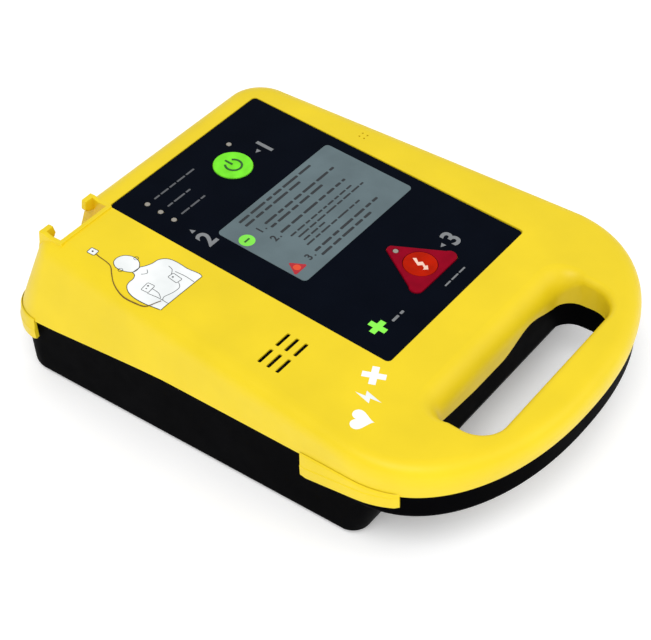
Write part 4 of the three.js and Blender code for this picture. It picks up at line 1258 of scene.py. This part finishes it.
# Sockets, battery, fixings ------------------------------------------------------------------
def laid_along_port(obj, x, y):
    """Turns an upright piece to point out of the port, at the pins' height."""
    obj.data.transform(Matrix.Translation((x, y, 64)) @ Matrix.Rotation(-math.pi / 2, 4, "X"))
    return obj


def electrode_socket():
    left, right, inner_y, floor_z = PORT["left"], PORT["right"], PORT["inner_y"], PORT["floor_z"]
    middle = (left + right) / 2
    body = soften(block(left + GAP, right - GAP, inner_y + GAP, inner_y + 7, floor_z + GAP, 79), 0.6, 3)
    recess = soften(block(middle - 11.5, middle + 11.5, inner_y + 4.5, inner_y + 12, 57, 71), 0.8, 3)
    seats = []
    for x in (middle - PIN_SPREAD, middle + PIN_SPREAD):
        seats.append(laid_along_port(post(0, 0, -1, 9, 2.6, 40), x, inner_y + 3))
    cut(body, recess, *seats)
    finish_piece(body, "socket_body", "socket_amber", "electrode_socket")
    for name, x in (("socket_pin_left", middle - PIN_SPREAD), ("socket_pin_right", middle + PIN_SPREAD)):
        tip = [(1.5 * math.cos(t), 6.3 + 1.3 * math.sin(t)) for t in np.linspace(0, 1.45, 7)]
        pin = laid_along_port(turned(0, 0, [(1.5, 0), (1.5, 6.0)] + tip, 40), x, inner_y + 2.3)
        finish_piece(pin, name + "_turned", "contact_brass", name)


def battery():
    half, bottom, top = BATTERY["half"], BATTERY["bottom"], BATTERY["top"]
    pack = keep(block(-half, half, BATTERY["inner_y"], 170, bottom, top), tray())
    soften(pack, 0.5, 2, 50)
    recess = soften(block(-15, 15, 138, 175, bottom + 5, top - 4), 0.9, 3)
    grooves = [
        block(x - 5.5, x + 5.5, 146.6, 160, z, z + 1.1)
        for x in (-24, 24) for z in (14.5, 18.0, 21.5, 25.0, 28.5)
    ]
    cut(pack, recess, *contact_slots(0.5), *grooves)
    finish_piece(pack, "battery_body", "battery_case", "battery_pack", "battery")
    plate = soften(block(-13.5, 13.5, 143.2, 146.4, bottom + 7.5, top - 5.5), 0.7, 3)
    hinge = soften(block(-14.6, 14.6, 140.6, 143.4, bottom + 6.8, bottom + 10), 0.5, 2)
    ribs = [soften(block(-10, 10, 146, 147.5, z, z + 1.2), 0.35, 2) for z in (20.3, 22.9, 25.5)]
    unite(plate, hinge, *ribs)
    finish_piece(plate, "latch_plate", "battery_case", "battery_latch", "latch")


def rubber_feet():
    for i, (x, y) in enumerate(FEET):
        curl, face = 0.9, FOOT_RADIUS - 0.9
        turns = (0.4, 0.8, 1.2, math.pi / 2)
        profile = [(face, 0.0)] + [(face + curl * math.sin(t), curl - curl * math.cos(t)) for t in turns]
        foot = turned(x, y, profile + [(FOOT_RADIUS, 2.2)], 56)
        rings = cut(foot, ring_groove(x, y, 4.4, 0.35), ring_groove(x, y, 2.6, 0.35))
        name = f"rubber_foot_{i + 1}"
        finish_piece(rings, name + "_pad", "black_rubber", name)


def ring_groove(x, y, radius, half):
    groove = post(x, y, -2, 0.4, radius + half, 40)
    return cut(groove, post(x, y, -3, 1, radius - half, 40))


def case_screws():
    """Cross-head screws in their wells under the case."""
    spots = [(x, y, TRAY_SEAT, 54) for x, y in TRAY_SCREWS]
    spots += [(x, y, HANDLE_SEAT, 56) for x, y in HANDLE_SCREWS]
    for i, (x, y, seat, tip) in enumerate(spots):
        low = seat - 2.2 - GAP
        profile = [(2.1, low), (2.7, low + 0.25), (SCREW_HEAD, low + 0.8), (SCREW_HEAD, seat - GAP)]
        screw = turned(x, y, profile + [(1.4, seat - GAP + 0.01), (1.4, tip - 0.8), (0.6, tip - GAP)], 32)
        cross = [
            block(x - 1.7, x + 1.7, y - 0.35, y + 0.35, low - 1, low + 1.3),
            block(x - 0.35, x + 0.35, y - 1.7, y + 1.7, low - 1, low + 1.2),
        ]
        cut(screw, *cross)
        name = f"case_screw_{i + 1}"
        finish_piece(screw, name + "_turned", "fastener_steel", name)


# Camera, floor and light --------------------------------------------------------------------
def place_camera():
    camera = new_object("camera", bpy.data.cameras.new("camera"))
    right = Vector((0.6035, -0.7960, -0.0464))
    down = Vector((-0.5507, -0.3740, -0.7463))
    ahead = Vector((0.5766, 0.4760, -0.6640))
    turn = Matrix((right, -down, -ahead)).transposed().to_4x4()
    camera.matrix_world = Matrix.Translation(Vector((-514.6, -410.3, 613.0)) * MILLIMETRE) @ turn
    camera.data.sensor_width = 36
    camera.data.lens = 90.7
    camera.data.clip_start = 0.01
    bpy.context.scene.camera = camera


def area_light(name, place, aim, size, power, color=(1, 1, 1)):
    light = bpy.data.lights.new(name, "AREA")
    light.shape = "DISK"
    light.size = size
    light.energy = power
    light.color = color
    obj = new_object(name, light)
    obj.location = place
    obj.rotation_euler = (Vector(aim) - Vector(place)).to_track_quat("-Z", "Y").to_euler()


def stage():
    floor = mesh_object("floor", [(-40, -40, 0), (40, -40, 0), (40, 40, 0), (-40, 40, 0)], [(0, 1, 2, 3)])
    paper = Finish("floor_paper")
    paper.paint((1, 1, 1), paper.noise(60, 2), (0.3, 0.96), (0.7, 0.98))
    paper.set(Roughness=0.9, Emission_Color=(1, 1, 1, 1), Emission_Strength=0.22)
    floor.data.materials.append(paper.material)
    world = bpy.data.worlds.new("studio")
    bpy.context.scene.world = world
    world.use_nodes = True
    world.node_tree.nodes["Background"].inputs["Color"].default_value = (1, 1, 1, 1)
    world.node_tree.nodes["Background"].inputs["Strength"].default_value = 0.68
    bpy.context.scene.view_settings.view_transform = "Standard"
    area_light("key", (-0.85, -0.5, 1.5), (0, 0, 0.03), 1.1, 13)
    area_light("fill", (0.7, -1.2, 1.1), (0, 0, 0.03), 1.2, 4)


place_camera()
stage()
dress_frame_nodes()
front_housing()
rear_housing()
corner_guards()
membrane()
lamps()
on_off_button()
shock_button()
panel_print()
label_print()
button_print()
placement_figure()
white_glyphs()
electrode_socket()
battery()
rubber_feet()
case_screws()
